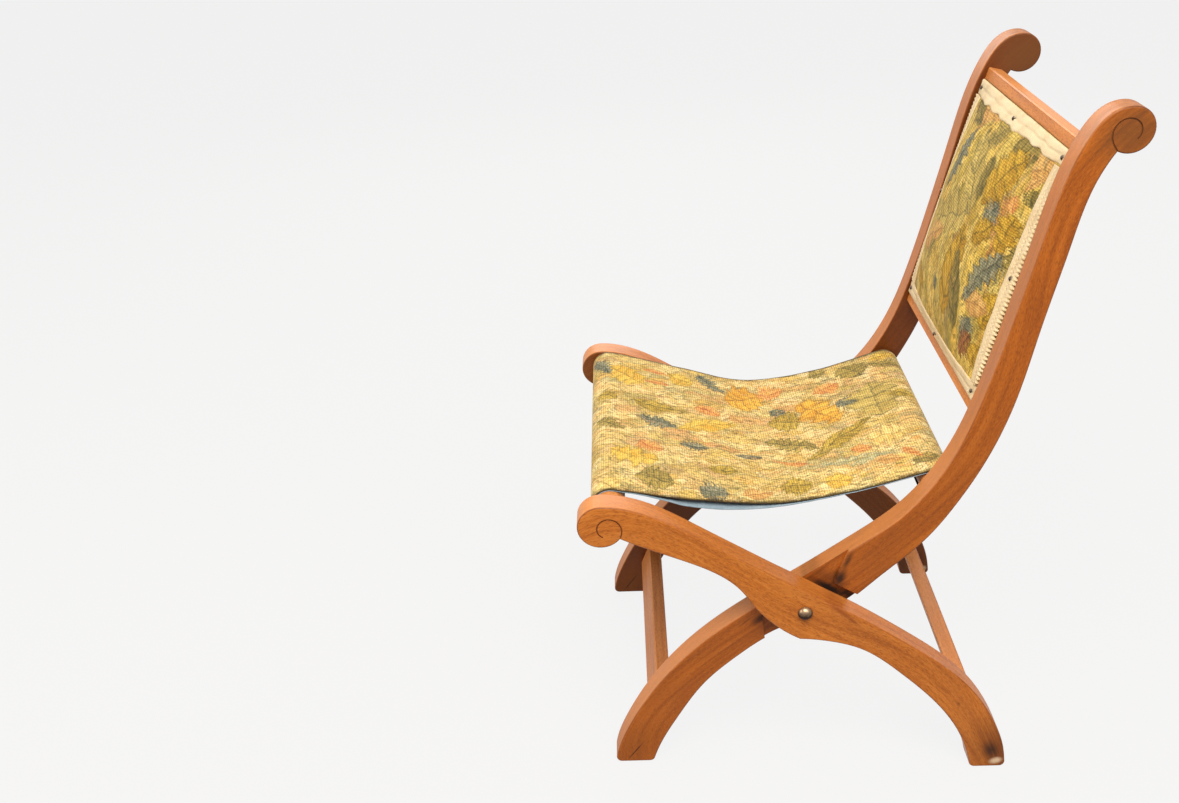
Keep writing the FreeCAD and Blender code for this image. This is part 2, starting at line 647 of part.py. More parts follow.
def tack(seat, outward, pin_length):
    """Dome-headed tack: its head on a seat, its pin going in."""
    sphere_radius = (TACK_HEAD_RADIUS ** 2 + TACK_HEAD_HEIGHT ** 2) / (2 * TACK_HEAD_HEIGHT)
    center = Vector(0, 0, TACK_HEAD_HEIGHT - sphere_radius)
    half_angle = math.asin(TACK_HEAD_RADIUS / sphere_radius) / 2
    crown = Vector(0, 0, TACK_HEAD_HEIGHT)
    shoulder = center + Vector(sphere_radius * math.sin(half_angle), 0, sphere_radius * math.cos(half_angle))
    rim = Vector(TACK_HEAD_RADIUS, 0, 0)
    profile = [Part.Arc(crown, shoulder, rim),
               Part.LineSegment(rim, Vector(TACK_PIN_RADIUS, 0, 0)),
               Part.LineSegment(Vector(TACK_PIN_RADIUS, 0, 0), Vector(TACK_PIN_RADIUS, 0, -pin_length)),
               Part.LineSegment(Vector(TACK_PIN_RADIUS, 0, -pin_length), Vector(0, 0, -pin_length)),
               Part.LineSegment(Vector(0, 0, -pin_length), crown)]
    solid = face_of(profile).revolve(Vector(0, 0, 0), Vector(0, 0, 1), 360)
    solid.Placement = FreeCAD.Placement(seat, FreeCAD.Rotation(Vector(0, 0, 1), outward))
    return solid


def make_tacks(places):
    """Tacks at a list of places."""
    return Part.makeCompound([tack(*place) for place in places])


def tack_holes(places):
    """Holes for the pins of tacks at a list of places."""
    holes = []
    for seat, outward, pin_length in places:
        start = seat - outward * (pin_length + TACK_HOLE_GAP)
        holes.append(rod(TACK_PIN_RADIUS + TACK_HOLE_GAP, start, outward, pin_length + CUT_OVERRUN))
    return Part.makeCompound(holes)


def back_tack_places():
    """Tacks through the braid into the back frame: its corners and the middle of each side."""
    outward = panel_point(0, 0, -1) - panel_point(0, 0, 0)
    x = CLOTH_HALF_WIDTH - BRAID_WIDTH / 2
    low = CLOTH_END_MARGIN + BRAID_WIDTH / 2
    high = PANEL_LENGTH - low
    middle = PANEL_LENGTH / 2
    places = []
    layers = SOFT_GAP + CLOTH_THICKNESS + BRAID_THICKNESS + TACK_SEAT
    for across_at, up in ((-x, low), (0, low), (x, low), (-x, middle), (x, middle),
                          (-x, high), (0, high), (x, high)):
        height = highest_crown(across_at, up, TACK_HEAD_RADIUS) + layers
        places.append((panel_point(across_at, up, -height), outward, height + TACK_PIN_LENGTH))
    return places


def lining_tack_places():
    """Tacks round the lining behind the back."""
    outward = panel_point(0, 0, 1) - panel_point(0, 0, 0)
    x_edge = PANEL_HALF_WIDTH - LINING_MARGIN - LINING_TACK_EDGE
    up_edge = LINING_MARGIN + LINING_TACK_EDGE
    spots = []
    for i in range(RAIL_TACK_COUNT):
        x = -x_edge + 2 * x_edge * i / (RAIL_TACK_COUNT - 1)
        up = up_edge + (PANEL_LENGTH - 2 * up_edge) * i / (RAIL_TACK_COUNT - 1)
        spots += [(x, up_edge), (x, PANEL_LENGTH - up_edge)]
        if 0 < i < RAIL_TACK_COUNT - 1:
            spots += [(-x_edge, up), (x_edge, up)]
    seat = PANEL_THICKNESS + LINING_THICKNESS + 2 * TACK_SEAT
    return [(panel_point(x, up, seat), outward, TACK_PIN_LENGTH) for x, up in spots]


def rail_tack_places(center, angle, half):
    """Tacks that hold the sling under a seat rail."""
    outward = polar(Vector(0, 0, 0), 1, angle)
    height = SEAT_RAIL_RADIUS + 2 * SOFT_GAP + SLING_LINING_THICKNESS + SLING_CLOTH_THICKNESS + TACK_SEAT
    places = []
    for i in range(RAIL_TACK_COUNT):
        x = -half + 2 * half * i / (RAIL_TACK_COUNT - 1)
        seat = Vector(x, center.y, center.z) + outward * height
        places.append((seat, outward, TACK_PIN_LENGTH))
    return places


def front_rail_tack_places():
    """Tacks under the front rail."""
    half = SLING_FRONT_HALF_WIDTH - RAIL_TACK_EDGE
    return rail_tack_places(front_rail_center(), SLING_TUCK_ANGLE / 2 - 90, half)


def rear_rail_tack_places():
    """Tacks under the rear rail."""
    half = SLING_HALF_WIDTH - RAIL_TACK_EDGE
    return rail_tack_places(rear_rail_center(), -SLING_TUCK_ANGLE / 2 - 90, half)


def sling_edges(radius, shift, reverse=False):
    """One long side of the sling's profile: round the front rail, over the sag, round the rear."""
    front = front_rail_center()
    rear = rear_rail_center()
    outer = SEAT_RAIL_RADIUS + SOFT_GAP + SLING_LINING_THICKNESS + SOFT_GAP + SLING_CLOTH_THICKNESS
    leave = polar(front, outer, SLING_FRONT_LEAVE_ANGLE)
    arrive = polar(rear, outer, SLING_REAR_LEAVE_ANGLE)
    guide = [leave]
    for run, drop in SLING_SAG_SHARES:
        guide.append(leave + (arrive - leave) * run - Vector(0, 0, drop * SLING_SAG))
    guide.append(arrive)
    first = polar(Vector(0, 0, 0), 1, SLING_FRONT_LEAVE_ANGLE - 90)
    last = polar(Vector(0, 0, 0), 1, SLING_REAR_LEAVE_ANGLE - 90)
    top = curve_through(guide, first, last)
    points = [polar(front, radius, SLING_FRONT_LEAVE_ANGLE)]
    points += [across(top, point, shift) for point in guide[1:-1]]
    points.append(polar(rear, radius, SLING_REAR_LEAVE_ANGLE))
    front_tuck = 270 + SLING_TUCK_ANGLE
    rear_tuck = -90 - SLING_TUCK_ANGLE
    front_arc = Part.Arc(polar(front, radius, front_tuck),
                         polar(front, radius, (front_tuck + SLING_FRONT_LEAVE_ANGLE) / 2), points[0])
    rear_arc = Part.Arc(points[-1], polar(rear, radius, (rear_tuck + SLING_REAR_LEAVE_ANGLE) / 2),
                        polar(rear, radius, rear_tuck))
    return [front_arc, curve_through(points, first, last), rear_arc]


def sling_plan():
    """Plan of the sling as a tall block that trims its sides."""
    narrowing = SLING_FRONT_HALF_WIDTH - SLING_HALF_WIDTH
    left = []
    for reach_part, width_part in SLING_TAPER_SHARES:
        reach = FRONT_REACH if reach_part < 0 else BACK_REACH
        left.append(Vector(SLING_HALF_WIDTH + width_part * narrowing, PIVOT_Y + reach_part * reach, 0))
    right = [Vector(-point.x, point.y, point.z) for point in left]
    edges = [curve_through(left), Part.LineSegment(left[-1], right[-1]),
             curve_through(right), Part.LineSegment(right[0], left[0])]
    return face_of(edges).extrude(Vector(0, 0, HEIGHT))


def sling_layer(inner_radius, thickness, depth_under_top):
    """One layer of the sling, tapered in plan."""
    outer_side = sling_edges(inner_radius + thickness, depth_under_top)
    inner_side = sling_edges(inner_radius, depth_under_top + thickness)
    start = Part.LineSegment(outer_side[0].StartPoint, inner_side[0].StartPoint)
    end = Part.LineSegment(outer_side[2].EndPoint, inner_side[2].EndPoint)
    band = slab(face_of(outer_side + inner_side + [start, end]), -HALF_WIDTH, HALF_WIDTH)
    return band.common(sling_plan())


def sling_layers():
    """The sling's tapestry and lining with their tack holes."""
    holes = tack_holes(front_rail_tack_places() + rear_rail_tack_places())
    lining_radius = SEAT_RAIL_RADIUS + SOFT_GAP
    cloth_radius = lining_radius + SLING_LINING_THICKNESS + SOFT_GAP
    cloth = sling_layer(cloth_radius, SLING_CLOTH_THICKNESS, 0)
    lining = sling_layer(lining_radius, SLING_LINING_THICKNESS, SLING_CLOTH_THICKNESS + SOFT_GAP)
    return {"seat_cloth": cloth.cut(holes), "seat_lining": lining.cut(holes)}


def make_bolt():
    """Left pivot bolt: domed head outside, shank through both members."""
    head_seat = SEAT_OUTER + BOLT_HEAD_GAP
    end = UPRIGHT_INNER - WASHER_SEAT - WASHER_THICKNESS - NUT_HEIGHT - BOLT_END_LENGTH
    dome_height = BOLT_HEAD_HEIGHT - BOLT_HEAD_RIM
    sphere_radius = (BOLT_HEAD_RADIUS ** 2 + dome_height ** 2) / (2 * dome_height)
    rim_x = head_seat + BOLT_HEAD_RIM
    dome = Part.makeSphere(sphere_radius, Vector(rim_x + dome_height - sphere_radius, PIVOT.y, PIVOT.z))
    cap = dome.common(rod(BOLT_HEAD_RADIUS, Vector(rim_x, PIVOT.y, PIVOT.z), X_AXIS, dome_height))
    rim = rod(BOLT_HEAD_RADIUS, Vector(head_seat, PIVOT.y, PIVOT.z), X_AXIS, BOLT_HEAD_RIM)
    shank = rod(BOLT_RADIUS, Vector(end, PIVOT.y, PIVOT.z), X_AXIS, head_seat + BOLT_HEAD_RIM - end)
    return cap.fuse([rim, shank]).removeSplitter()


def make_washer():
    """Left washer, inside the upright."""
    low = UPRIGHT_INNER - WASHER_SEAT - WASHER_THICKNESS
    disc = rod(WASHER_RADIUS, Vector(low, PIVOT.y, PIVOT.z), X_AXIS, WASHER_THICKNESS)
    return disc.cut(pivot_bore(low - CUT_OVERRUN, UPRIGHT_INNER))


def make_nut():
    """Left hexagon nut, on the bolt's inner end."""
    high = UPRIGHT_INNER - 2 * WASHER_SEAT - WASHER_THICKNESS
    corner = NUT_ACROSS_FLATS / 2 / math.cos(math.pi / NUT_SIDES)
    corners = [polar(Vector(0, PIVOT.y, PIVOT.z), corner, 360 * i / NUT_SIDES) for i in range(NUT_SIDES + 1)]
    body = slab(Part.Face(Part.makePolygon(corners)), high - NUT_HEIGHT, high)
    return body.cut(pivot_bore(high - NUT_HEIGHT - CUT_OVERRUN, high + CUT_OVERRUN))


def side_parts():
    """The pieces that come in a left and a right."""
    panel_holes = tack_holes(back_tack_places() + lining_tack_places())
    lefts = {"upright": make_upright(),
             "seat_member": make_seat_member(),
             "back_stile": make_stile().cut(panel_holes),
             "pivot_bolt": make_bolt(),
             "pivot_washer": make_washer(),
             "pivot_nut": make_nut()}
    parts = {}
    for name, shape in lefts.items():
        parts[name + "_left"] = shape
        parts[name + "_right"] = mirrored(shape)
    return parts


def cross_parts():
    """The rails and stretchers that join the two sides."""
    panel_holes = tack_holes(back_tack_places() + lining_tack_places())
    top = make_back_rail(PANEL_LENGTH - TOP_RAIL_DEPTH, TOP_RAIL_DEPTH)
    bottom = make_back_rail(0, BOTTOM_RAIL_DEPTH)
    front = make_seat_rail(front_rail_center(), SEAT_INNER)
    rear = make_seat_rail(rear_rail_center(), UPRIGHT_INNER)
    return {"top_rail": top.cut(panel_holes),
            "bottom_rail": bottom.cut(panel_holes),
            "seat_front_rail": front.cut(tack_holes(front_rail_tack_places())),
            "seat_rear_rail": rear.cut(tack_holes(rear_rail_tack_places())),
            "front_stretcher": make_stretcher(front_stretcher_center(), FRONT_STRETCHER_LEAN, UPRIGHT_INNER),
            "rear_stretcher": make_stretcher(rear_stretcher_center(), -REAR_STRETCHER_LEAN, SEAT_INNER)}


def back_soft_parts():
    """The upholstery of the back, with its tack holes."""
    holes = tack_holes(back_tack_places())
    parts = {"back_webbing": make_webbing().cut(holes), "back_cloth": make_back_cloth().cut(holes)}
    for name, shape in make_braids().items():
        parts[name] = shape.cut(holes)
    parts["back_padding"] = make_back_padding()
    parts["back_lining"] = make_back_lining().cut(tack_holes(lining_tack_places()))
    return parts


def tack_parts():
    """All the tacks."""
    return {"back_tacks": make_tacks(back_tack_places()),
            "lining_tacks": make_tacks(lining_tack_places()),
            "front_rail_tacks": make_tacks(front_rail_tack_places()),
            "rear_rail_tacks": make_tacks(rear_rail_tack_places())}


def build():
    """Every sub-part by node name."""
    parts = side_parts()
    parts.update(cross_parts())
    parts.update(back_soft_parts())
    parts.update(sling_layers())
    parts.update(tack_parts())
    return parts


def main():
    """Write one STEP file per sub-part."""
    os.makedirs("parts", exist_ok=True)
    for name, shape in build().items():
        shape.exportStep(os.path.join("parts", name + ".step"))
        box = shape.BoundBox
        print(name, "valid" if shape.isValid() else "INVALID", "solids", len(shape.Solids),
              "volume %.0f" % shape.Volume,
              "x %.1f %.1f y %.1f %.1f z %.1f %.1f" % (box.XMin, box.XMax, box.YMin, box.YMax,
                                                       box.ZMin, box.ZMax))


main()
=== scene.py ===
"""Looks of a folding X-frame chair with a tapestry sling seat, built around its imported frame."""

import logging
import math
from dataclasses import dataclass
from dataclasses import field
from enum import Enum
from typing import Any

import bpy
import numpy as np
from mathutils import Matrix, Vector
from mathutils import noise

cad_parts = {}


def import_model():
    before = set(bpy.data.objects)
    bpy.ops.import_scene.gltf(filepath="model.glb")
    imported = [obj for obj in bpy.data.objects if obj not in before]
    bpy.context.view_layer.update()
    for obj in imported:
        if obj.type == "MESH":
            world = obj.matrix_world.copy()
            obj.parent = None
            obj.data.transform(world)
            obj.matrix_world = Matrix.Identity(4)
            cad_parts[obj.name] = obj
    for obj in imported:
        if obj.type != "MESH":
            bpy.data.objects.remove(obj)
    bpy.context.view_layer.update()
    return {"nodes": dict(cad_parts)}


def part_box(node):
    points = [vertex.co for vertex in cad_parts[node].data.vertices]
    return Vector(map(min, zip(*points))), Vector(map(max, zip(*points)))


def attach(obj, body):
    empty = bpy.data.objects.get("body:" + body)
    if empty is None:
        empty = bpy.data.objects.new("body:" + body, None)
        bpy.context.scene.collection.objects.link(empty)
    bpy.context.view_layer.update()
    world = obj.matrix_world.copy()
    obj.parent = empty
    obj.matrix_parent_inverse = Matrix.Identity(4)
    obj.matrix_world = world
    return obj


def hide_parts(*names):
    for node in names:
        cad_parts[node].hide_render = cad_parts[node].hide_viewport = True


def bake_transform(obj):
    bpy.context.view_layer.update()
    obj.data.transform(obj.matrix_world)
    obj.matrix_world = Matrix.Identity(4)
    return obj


LOG = logging.getLogger("folding_chair")
MM = 0.001
# Worn band along the side edges of a cloth: its width in millimetres, and where "flat" starts
EDGE_BAND = 9.0
EDGE_START = 0.12


def linear(colour: str) -> tuple[float, float, float, float]:
    """Turns an sRGB hex colour to linear light.

    Args:
        colour: Colour as "#rrggbb".

    Returns:
        Linear red, green and blue with an alpha of 1.
    """
    parts = [int(colour[i:i + 2], 16) / 255 for i in (1, 3, 5)]
    lit = [c / 12.92 if c <= 0.04045 else ((c + 0.055) / 1.055) ** 2.4 for c in parts]
    return (lit[0], lit[1], lit[2], 1.0)


def shown(sockets: Any, key: str | int) -> bpy.types.NodeSocket:
    """Finds a socket by name or number.

    Args:
        sockets: Inputs or outputs of a node.
        key: Name of an enabled socket, or its number.

    Returns:
        The socket.
    """
    if isinstance(key, int):
        return sockets[key]
    return next(s for s in sockets if s.name == key and s.enabled)


def add_node(tree: bpy.types.NodeTree, kind: str, inputs: dict[str | int, Any] | None = None,
             stops: tuple[tuple[float, str], ...] = (), **settings: Any) -> bpy.types.NodeSocket:
    """Adds a shader node with its settings and links.

    Args:
        tree: Node tree that gets the node.
        kind: Node type without its "ShaderNode" prefix, or a full type name.
        inputs: Value, hex colour or source socket for each named or numbered input.
        stops: Places and hex colours of a colour ramp.
        settings: Properties of the node, set before its inputs.

    Returns:
        The node's first enabled output, or the node's first input where it has no output.
    """
    node = tree.nodes.new(kind if kind.startswith("NodeGroup") else "ShaderNode" + kind)
    for name, value in settings.items():
        setattr(node, name, value)
    for i, (place, colour) in enumerate(stops):
        ramp = node.color_ramp.elements
        stop = ramp[i] if i < 2 else ramp.new(place)
        stop.position = place
        stop.color = linear(colour)
    for key, value in (inputs or {}).items():
        socket = shown(node.inputs, key)
        if isinstance(value, bpy.types.NodeSocket):
            tree.links.new(value, socket)
        else:
            socket.default_value = linear(value) if isinstance(value, str) else value
    if not node.outputs:
        return node.inputs[0]
    return next(s for s in node.outputs if s.enabled)


def new_surface(name: str) -> tuple[bpy.types.Material, bpy.types.NodeTree, bpy.types.Node]:
    """Makes a material with an empty principled shader.

    Args:
        name: Name of the material.

    Returns:
        The material, its node tree and its principled node.
    """
    material = bpy.data.materials.new(name)
    material.use_nodes = True
    tree = material.node_tree
    return material, tree, tree.nodes["Principled BSDF"]


def smooth_curve(places: np.ndarray, values: np.ndarray, at: np.ndarray,
                 first: float | None = None, last: float | None = None) -> np.ndarray:
    """Reads a smooth curve through given values.

    Args:
        places: Rising places of the values.
        values: Values that the curve goes through.
        at: Places to read.
        first: Slope at the first place, or None for the chord's.
        last: Slope at the last place, or None for the chord's.

    Returns:
        The curve at each place of at.
    """
    chords = np.diff(values) / np.diff(places)
    slopes = np.empty(len(values))
    slopes[1:-1] = (chords[:-1] + chords[1:]) / 2
    slopes[0] = chords[0] if first is None else first
    slopes[-1] = chords[-1] if last is None else last
    at = np.clip(at, places[0], places[-1])
    k = np.clip(np.searchsorted(places, at, side="right") - 1, 0, len(places) - 2)
    step = places[k + 1] - places[k]
    t = (at - places[k]) / step
    rise = values[k + 1] - values[k]
    a = slopes[k] * step - rise
    b = rise - slopes[k + 1] * step
    return values[k] + t * rise + t * (1 - t) * ((1 - t) * a + t * b)


def ripple(points: np.ndarray, size: float, shift: float = 0.0) -> np.ndarray:
    """Smooth unevenness from -1 to 1 over points.

    Args:
        points: Points in metres, one row each.
        size: Size of one ripple in metres.
        shift: Offset that gives another ripple of the same size.

    Returns:
        One value for each point.
    """
    flat = points.reshape(-1, points.shape[-1])
    padded = np.zeros((len(flat), 3))
    padded[:, :flat.shape[1]] = flat
    values = [noise.noise(Vector(p / size) + Vector((shift, shift, shift))) for p in padded]
    return np.array(values).reshape(points.shape[:-1])


def closed_sheet(name: str, top: np.ndarray, bottom: np.ndarray, flat: np.ndarray,
                 material: bpy.types.Material) -> bpy.types.Object:
    """Makes a closed cloth from its two faces.

    Args:
        name: Name of the piece.
        top: Grid of points of the upper face, in metres.
        bottom: Grid of points of the lower face.
        flat: Grid of flat cloth coordinates in metres, kept as the attribute "flat". Its Z goes
            from 0 on the upper face to 1 on the lower. Within EDGE_BAND of the side edges it
            rises to EDGE_START on the upper face, which marks where the cloth is worn.
        material: Finish of the cloth.

    Returns:
        The new object.
    """
    rows, columns = top.shape[:2]
    count = rows * columns
    index = np.arange(count).reshape(rows, columns)
    quads = np.stack([index[:-1, :-1], index[1:, :-1], index[1:, 1:], index[:-1, 1:]], -1)
    upper = quads.reshape(-1, 4)
    lower = upper[:, ::-1] + count
    rim = np.concatenate([index[0, :], index[1:, -1], index[-1, -2::-1], index[-2:0:-1, 0]])
    after = np.roll(rim, -1)
    wall = np.stack([rim, after, after + count, rim + count], -1)
    mesh = bpy.data.meshes.new(name)
    points = np.concatenate([top.reshape(-1, 3), bottom.reshape(-1, 3)])
    mesh.from_pydata(points.tolist(), [], np.concatenate([upper, lower, wall]).tolist())
    cloth = mesh.attributes.new("flat", "FLOAT_VECTOR", "POINT")
    spots = np.zeros((2 * count, 3), np.float32)
    spots[:, :2] = np.concatenate([flat.reshape(-1, 2)] * 2)
    reach = np.abs(flat[..., 0])
    inside = reach.max(axis=1, keepdims=True) - reach
    spots[:count, 2] = EDGE_START * np.clip(1 - inside / (EDGE_BAND * MM), 0, 1).ravel()
    spots[count:, 2] = 1.0
    cloth.data.foreach_set("vector", spots.ravel())
    mesh.update()
    mesh.shade_smooth()
    mesh.materials.append(material)
    piece = bpy.data.objects.new(name, mesh)
    bpy.context.scene.collection.objects.link(piece)
    LOG.info("%s: %d by %d points", name, rows, columns)
    return piece


class Grain(Enum):
    """Which way the grain runs: its turn in degrees onto local Y, and the bend that it follows.

    A bend is the axis along it, its length in millimetres, and the factors of a polynomial that
    gives the other axis in millimetres, highest power first.
    """

    SEAT_MEMBER = ((33.0, 0.0, 0.0), "Y", 300.0, (-231.4, -176.1, 33.5, -167.1, 233.7))
    UPRIGHT = ((-57.0, 0.0, 0.0), "Z", 850.0, (4533.1, -9247.1, 5501.9, -244.0, -239.6))
    PANEL = ((-75.5, 0.0, 0.0), "", 0.0, ())
    ACROSS = ((0.0, 0.0, 90.0), "", 0.0, ())


class Motif(Enum):
    """Kinds of leaf in the tapestry: number of lobes and depth of their notches."""

    BROAD = (5.0, 0.30)
    OAK = (4.0, 0.48)
    FROND = (7.0, 0.55)
    LANCE = (3.0, 0.10)


@dataclass(frozen=True)
class Mark:
    """Stain, dent, worn place, painted shade or painted shadow on the side faces, in side-view
    millimetres and degrees.
    """

    place: tuple[float, float]
    size: tuple[float, float]
    turn: float
    colour: str
    strength: float
    patchy: float = 0.6


@dataclass(frozen=True)
class VarnishedBeech:
    """Steamed beech, sawn and rounded by hand, stained and brushed with a warm oil varnish.

    The eye sees an orange-brown satin surface with fine dark flecks along the grain, broad soft
    streaks and a darker line along the rounded edges. Its upper faces are paler, partly from wear
    and partly as a painted highlight. On the side members, painted shade darkens the inner faces
    and the scroll groove, and the marks add stains, dirt, painted shade and painted shadows.
    Lengths are in millimetres.
    """

    name: str
    grain: Grain
    ground: str = "#be6c24"
    light: str = "#d4843a"
    dark: str = "#954d16"
    fleck: str = "#6e340c"
    # Colour of the painted shade in the scroll groove and of the darker line along the rounded
    # edges
    groove_shade_and_edge_line: str = "#64300f"
    # Colour of the painted shade on the inner faces
    dull: str = "#3c1a08"
    inner_shade_strength: float = 0.72
    # Paler colour of the upper faces: partly wear, partly painted highlight
    wear_and_highlight: str = "#e39c60"
    wear_and_highlight_side: tuple[float, float, float] = (0.0, -0.5, 0.87)
    wear_and_highlight_share: float = 0.40
    outer_face: float = 0.0
    groove: tuple[float, float, float] = (0.0, 0.0, 0.0)
    marks: tuple[Mark, ...] = ()
    roughness: float = 0.42
    gloss: float = 0.20
    coat: float = 0.10
    coat_roughness: float = 0.24
    fleck_length: float = 5.0
    fleck_width: float = 1.2
    streak_length: float = 150.0
    streak_width: float = 7.0
    blotch_length: float = 90.0
    blotch_width: float = 30.0
    arris_width: float = 2.4
    arris_core: float = 0.9
    face_skin: tuple[float, float] = (0.10, 0.35)
    groove_fade: float = 2.0

    def grain_line(self, tree: bpy.types.NodeTree) -> bpy.types.NodeSocket:
        """Coordinates in metres whose Y runs along the grain.

        Args:
            tree: Node tree of the material.

        Returns:
            The coordinates.
        """
        local = add_node(tree, "TexCoord").node.outputs["Object"]
        turn, axis, length, factors = self.grain.value
        turned = add_node(tree, "Mapping", {
            "Vector": local, "Rotation": tuple(math.radians(a) for a in turn)})
        if not axis:
            return turned
        split = add_node(tree, "SeparateXYZ", {0: local}).node.outputs
        run = add_node(tree, "Math", {0: split[axis], 1: 1 / (length * MM)}, operation="MULTIPLY")
        level = factors[0]
        for factor in factors[1:]:
            level = add_node(tree, "Math", {0: level, 1: run, 2: factor},
                             operation="MULTIPLY_ADD")
        off = add_node(tree, "Math", {0: level, 1: -MM, 2: split["Z" if axis == "Y" else "Y"]},
                       operation="MULTIPLY_ADD")
        along = add_node(tree, "SeparateXYZ", {0: turned}).node.outputs["Y"]
        return add_node(tree, "CombineXYZ", {"X": split["X"], "Y": along, "Z": off})

    def mark_mask(self, tree: bpy.types.NodeTree, mark: Mark,
                  patches: bpy.types.NodeSocket) -> bpy.types.NodeSocket:
        """Mask of one mark on both side faces.

        Args:
            tree: Node tree of the material.
            mark: The mark.
            patches: Uneven value from 0 to 1 that breaks the mark up.

        Returns:
            Mask from 0 to 1.
        """
        local = add_node(tree, "TexCoord").node.outputs["Object"]
        moved = add_node(tree, "VectorMath", {
            0: local, 1: (0.0, mark.place[0] * MM, mark.place[1] * MM)}, operation="SUBTRACT")
        turned = add_node(tree, "Mapping", {
            "Vector": moved, "Rotation": (-math.radians(mark.turn), 0.0, 0.0)})
        sized = add_node(tree, "VectorMath", {
            0: turned, 1: (0.0, 1 / (mark.size[0] * MM), 1 / (mark.size[1] * MM))},
            operation="MULTIPLY")
        reach = add_node(tree, "VectorMath", {0: sized}, operation="LENGTH")
        reach = reach.node.outputs["Value"]
        torn = add_node(tree, "Math", {0: patches, 1: mark.patchy, 2: reach},
                        operation="MULTIPLY_ADD")
        return add_node(tree, "MapRange", {
            "Value": torn, "From Min": 1.0 + mark.patchy * 0.4, "From Max": 0.35,
            "To Max": mark.strength}, interpolation_type="SMOOTHSTEP")

    def material(self) -> bpy.types.Material:
        """Builds the finish.

        Returns:
            The material.
        """
        made, tree, shader = new_surface(self.name)
        line = self.grain_line(tree)
        noises = []
        for wide, long, detail, rough in (
                (self.streak_width, self.streak_length, 4.0, 0.55),
                (self.fleck_width, self.fleck_length, 1.5, 0.60),
                (self.blotch_width, self.blotch_length, 3.0, 0.50)):
            placed = add_node(tree, "Mapping", {"Vector": line, "Scale": (
                1 / (wide * MM), 1 / (long * MM), 1 / (wide * MM))})
            noises.append(add_node(tree, "TexNoise", {
                "Vector": placed, "Scale": 1.0, "Detail": detail, "Roughness": rough}))
        streaks, flecks, blotches = noises
        body = add_node(tree, "ValToRGB", {0: streaks}, stops=(
            (0.18, self.dark), (0.84, self.light), (0.50, self.ground)))
        cloudy = add_node(tree, "MapRange", {
            "Value": blotches, "From Min": 0.36, "From Max": 0.66, "To Min": 0.32, "To Max": 0.0})
        body = add_node(tree, "Mix", {0: cloudy, "A": body, "B": self.dark}, data_type="RGBA")
        for low, high, much, colour in (
                (0.55, 0.68, 0.55, self.fleck), (0.44, 0.32, 0.45, self.light)):
            ticks = add_node(tree, "MapRange", {
                "Value": flecks, "From Min": low, "From Max": high, "To Max": much})
            body = add_node(tree, "Mix", {0: ticks, "A": body, "B": colour}, data_type="RGBA")
        # Faces that look up and forward turn paler: partly wear, partly painted highlight
        facing = add_node(tree, "TexCoord").node.outputs["Normal"]
        upward = add_node(tree, "VectorMath", {0: facing, 1: self.wear_and_highlight_side},
                          operation="DOT_PRODUCT").node.outputs["Value"]
        wear_and_highlight = add_node(tree, "MapRange", {
            "Value": upward, "From Min": 0.35, "From Max": 0.9, "To Max": self.wear_and_highlight_share})
        body = add_node(tree, "Mix", {0: wear_and_highlight, "A": body, "B": self.wear_and_highlight}, data_type="RGBA")
        rough = add_node(tree, "MapRange", {
            "Value": blotches, "From Min": 0.3, "From Max": 0.7,
            "To Min": self.roughness - 0.05, "To Max": self.roughness + 0.10})
        if self.outer_face:
            body = self.paint_inner_shade(tree, body)
            body = self.shade_groove_and_edges(tree, body, blotches)
        for mark in self.marks:
            mask = self.mark_mask(tree, mark, streaks)
            body = add_node(tree, "Mix", {0: mask, "A": body, "B": mark.colour}, data_type="RGBA")
            rough = add_node(tree, "Mix", {0: mask, "A": rough, "B": 0.7}, data_type="FLOAT")
        tree.links.new(body, shader.inputs["Base Color"])
        tree.links.new(rough, shader.inputs["Roughness"])
        relief = add_node(tree, "Bump", {
            "Height": flecks, "Strength": 0.35, "Distance": 0.25 * MM}, invert=True)
        relief = add_node(tree, "Bump", {
            "Height": streaks, "Strength": 0.3, "Distance": 0.8 * MM, "Normal": relief})
        tree.links.new(relief, shader.inputs["Normal"])
        shader.inputs["IOR"].default_value = 1.5
        shader.inputs["Specular IOR Level"].default_value = self.gloss
        shader.inputs["Coat Weight"].default_value = self.coat
        shader.inputs["Coat Roughness"].default_value = self.coat_roughness
        return made

    def paint_inner_shade(self, tree: bpy.types.NodeTree,
                    body: bpy.types.NodeSocket) -> bpy.types.NodeSocket:
        """Darkens the inner faces with painted shade, as if the seat shaded them.

        Args:
            tree: Node tree of the material.
            body: Colour of the wood.

        Returns:
            The new colour.
        """
        place = add_node(tree, "TexCoord").node.outputs
        across = add_node(tree, "SeparateXYZ", {0: place["Object"]}).node.outputs["X"]
        facing = add_node(tree, "SeparateXYZ", {0: place["Normal"]}).node.outputs["X"]
        # A face that looks to the chair's middle gives about minus its distance from there
        inward = add_node(tree, "Math", {0: across, 1: facing}, operation="MULTIPLY")
        # Painted shade on the faces that look inward
        inward = add_node(tree, "MapRange", {
            "Value": inward, "From Min": -0.08, "From Max": -0.16, "To Max": self.inner_shade_strength})
        return add_node(tree, "Mix", {0: inward, "A": body, "B": self.dull}, data_type="RGBA")

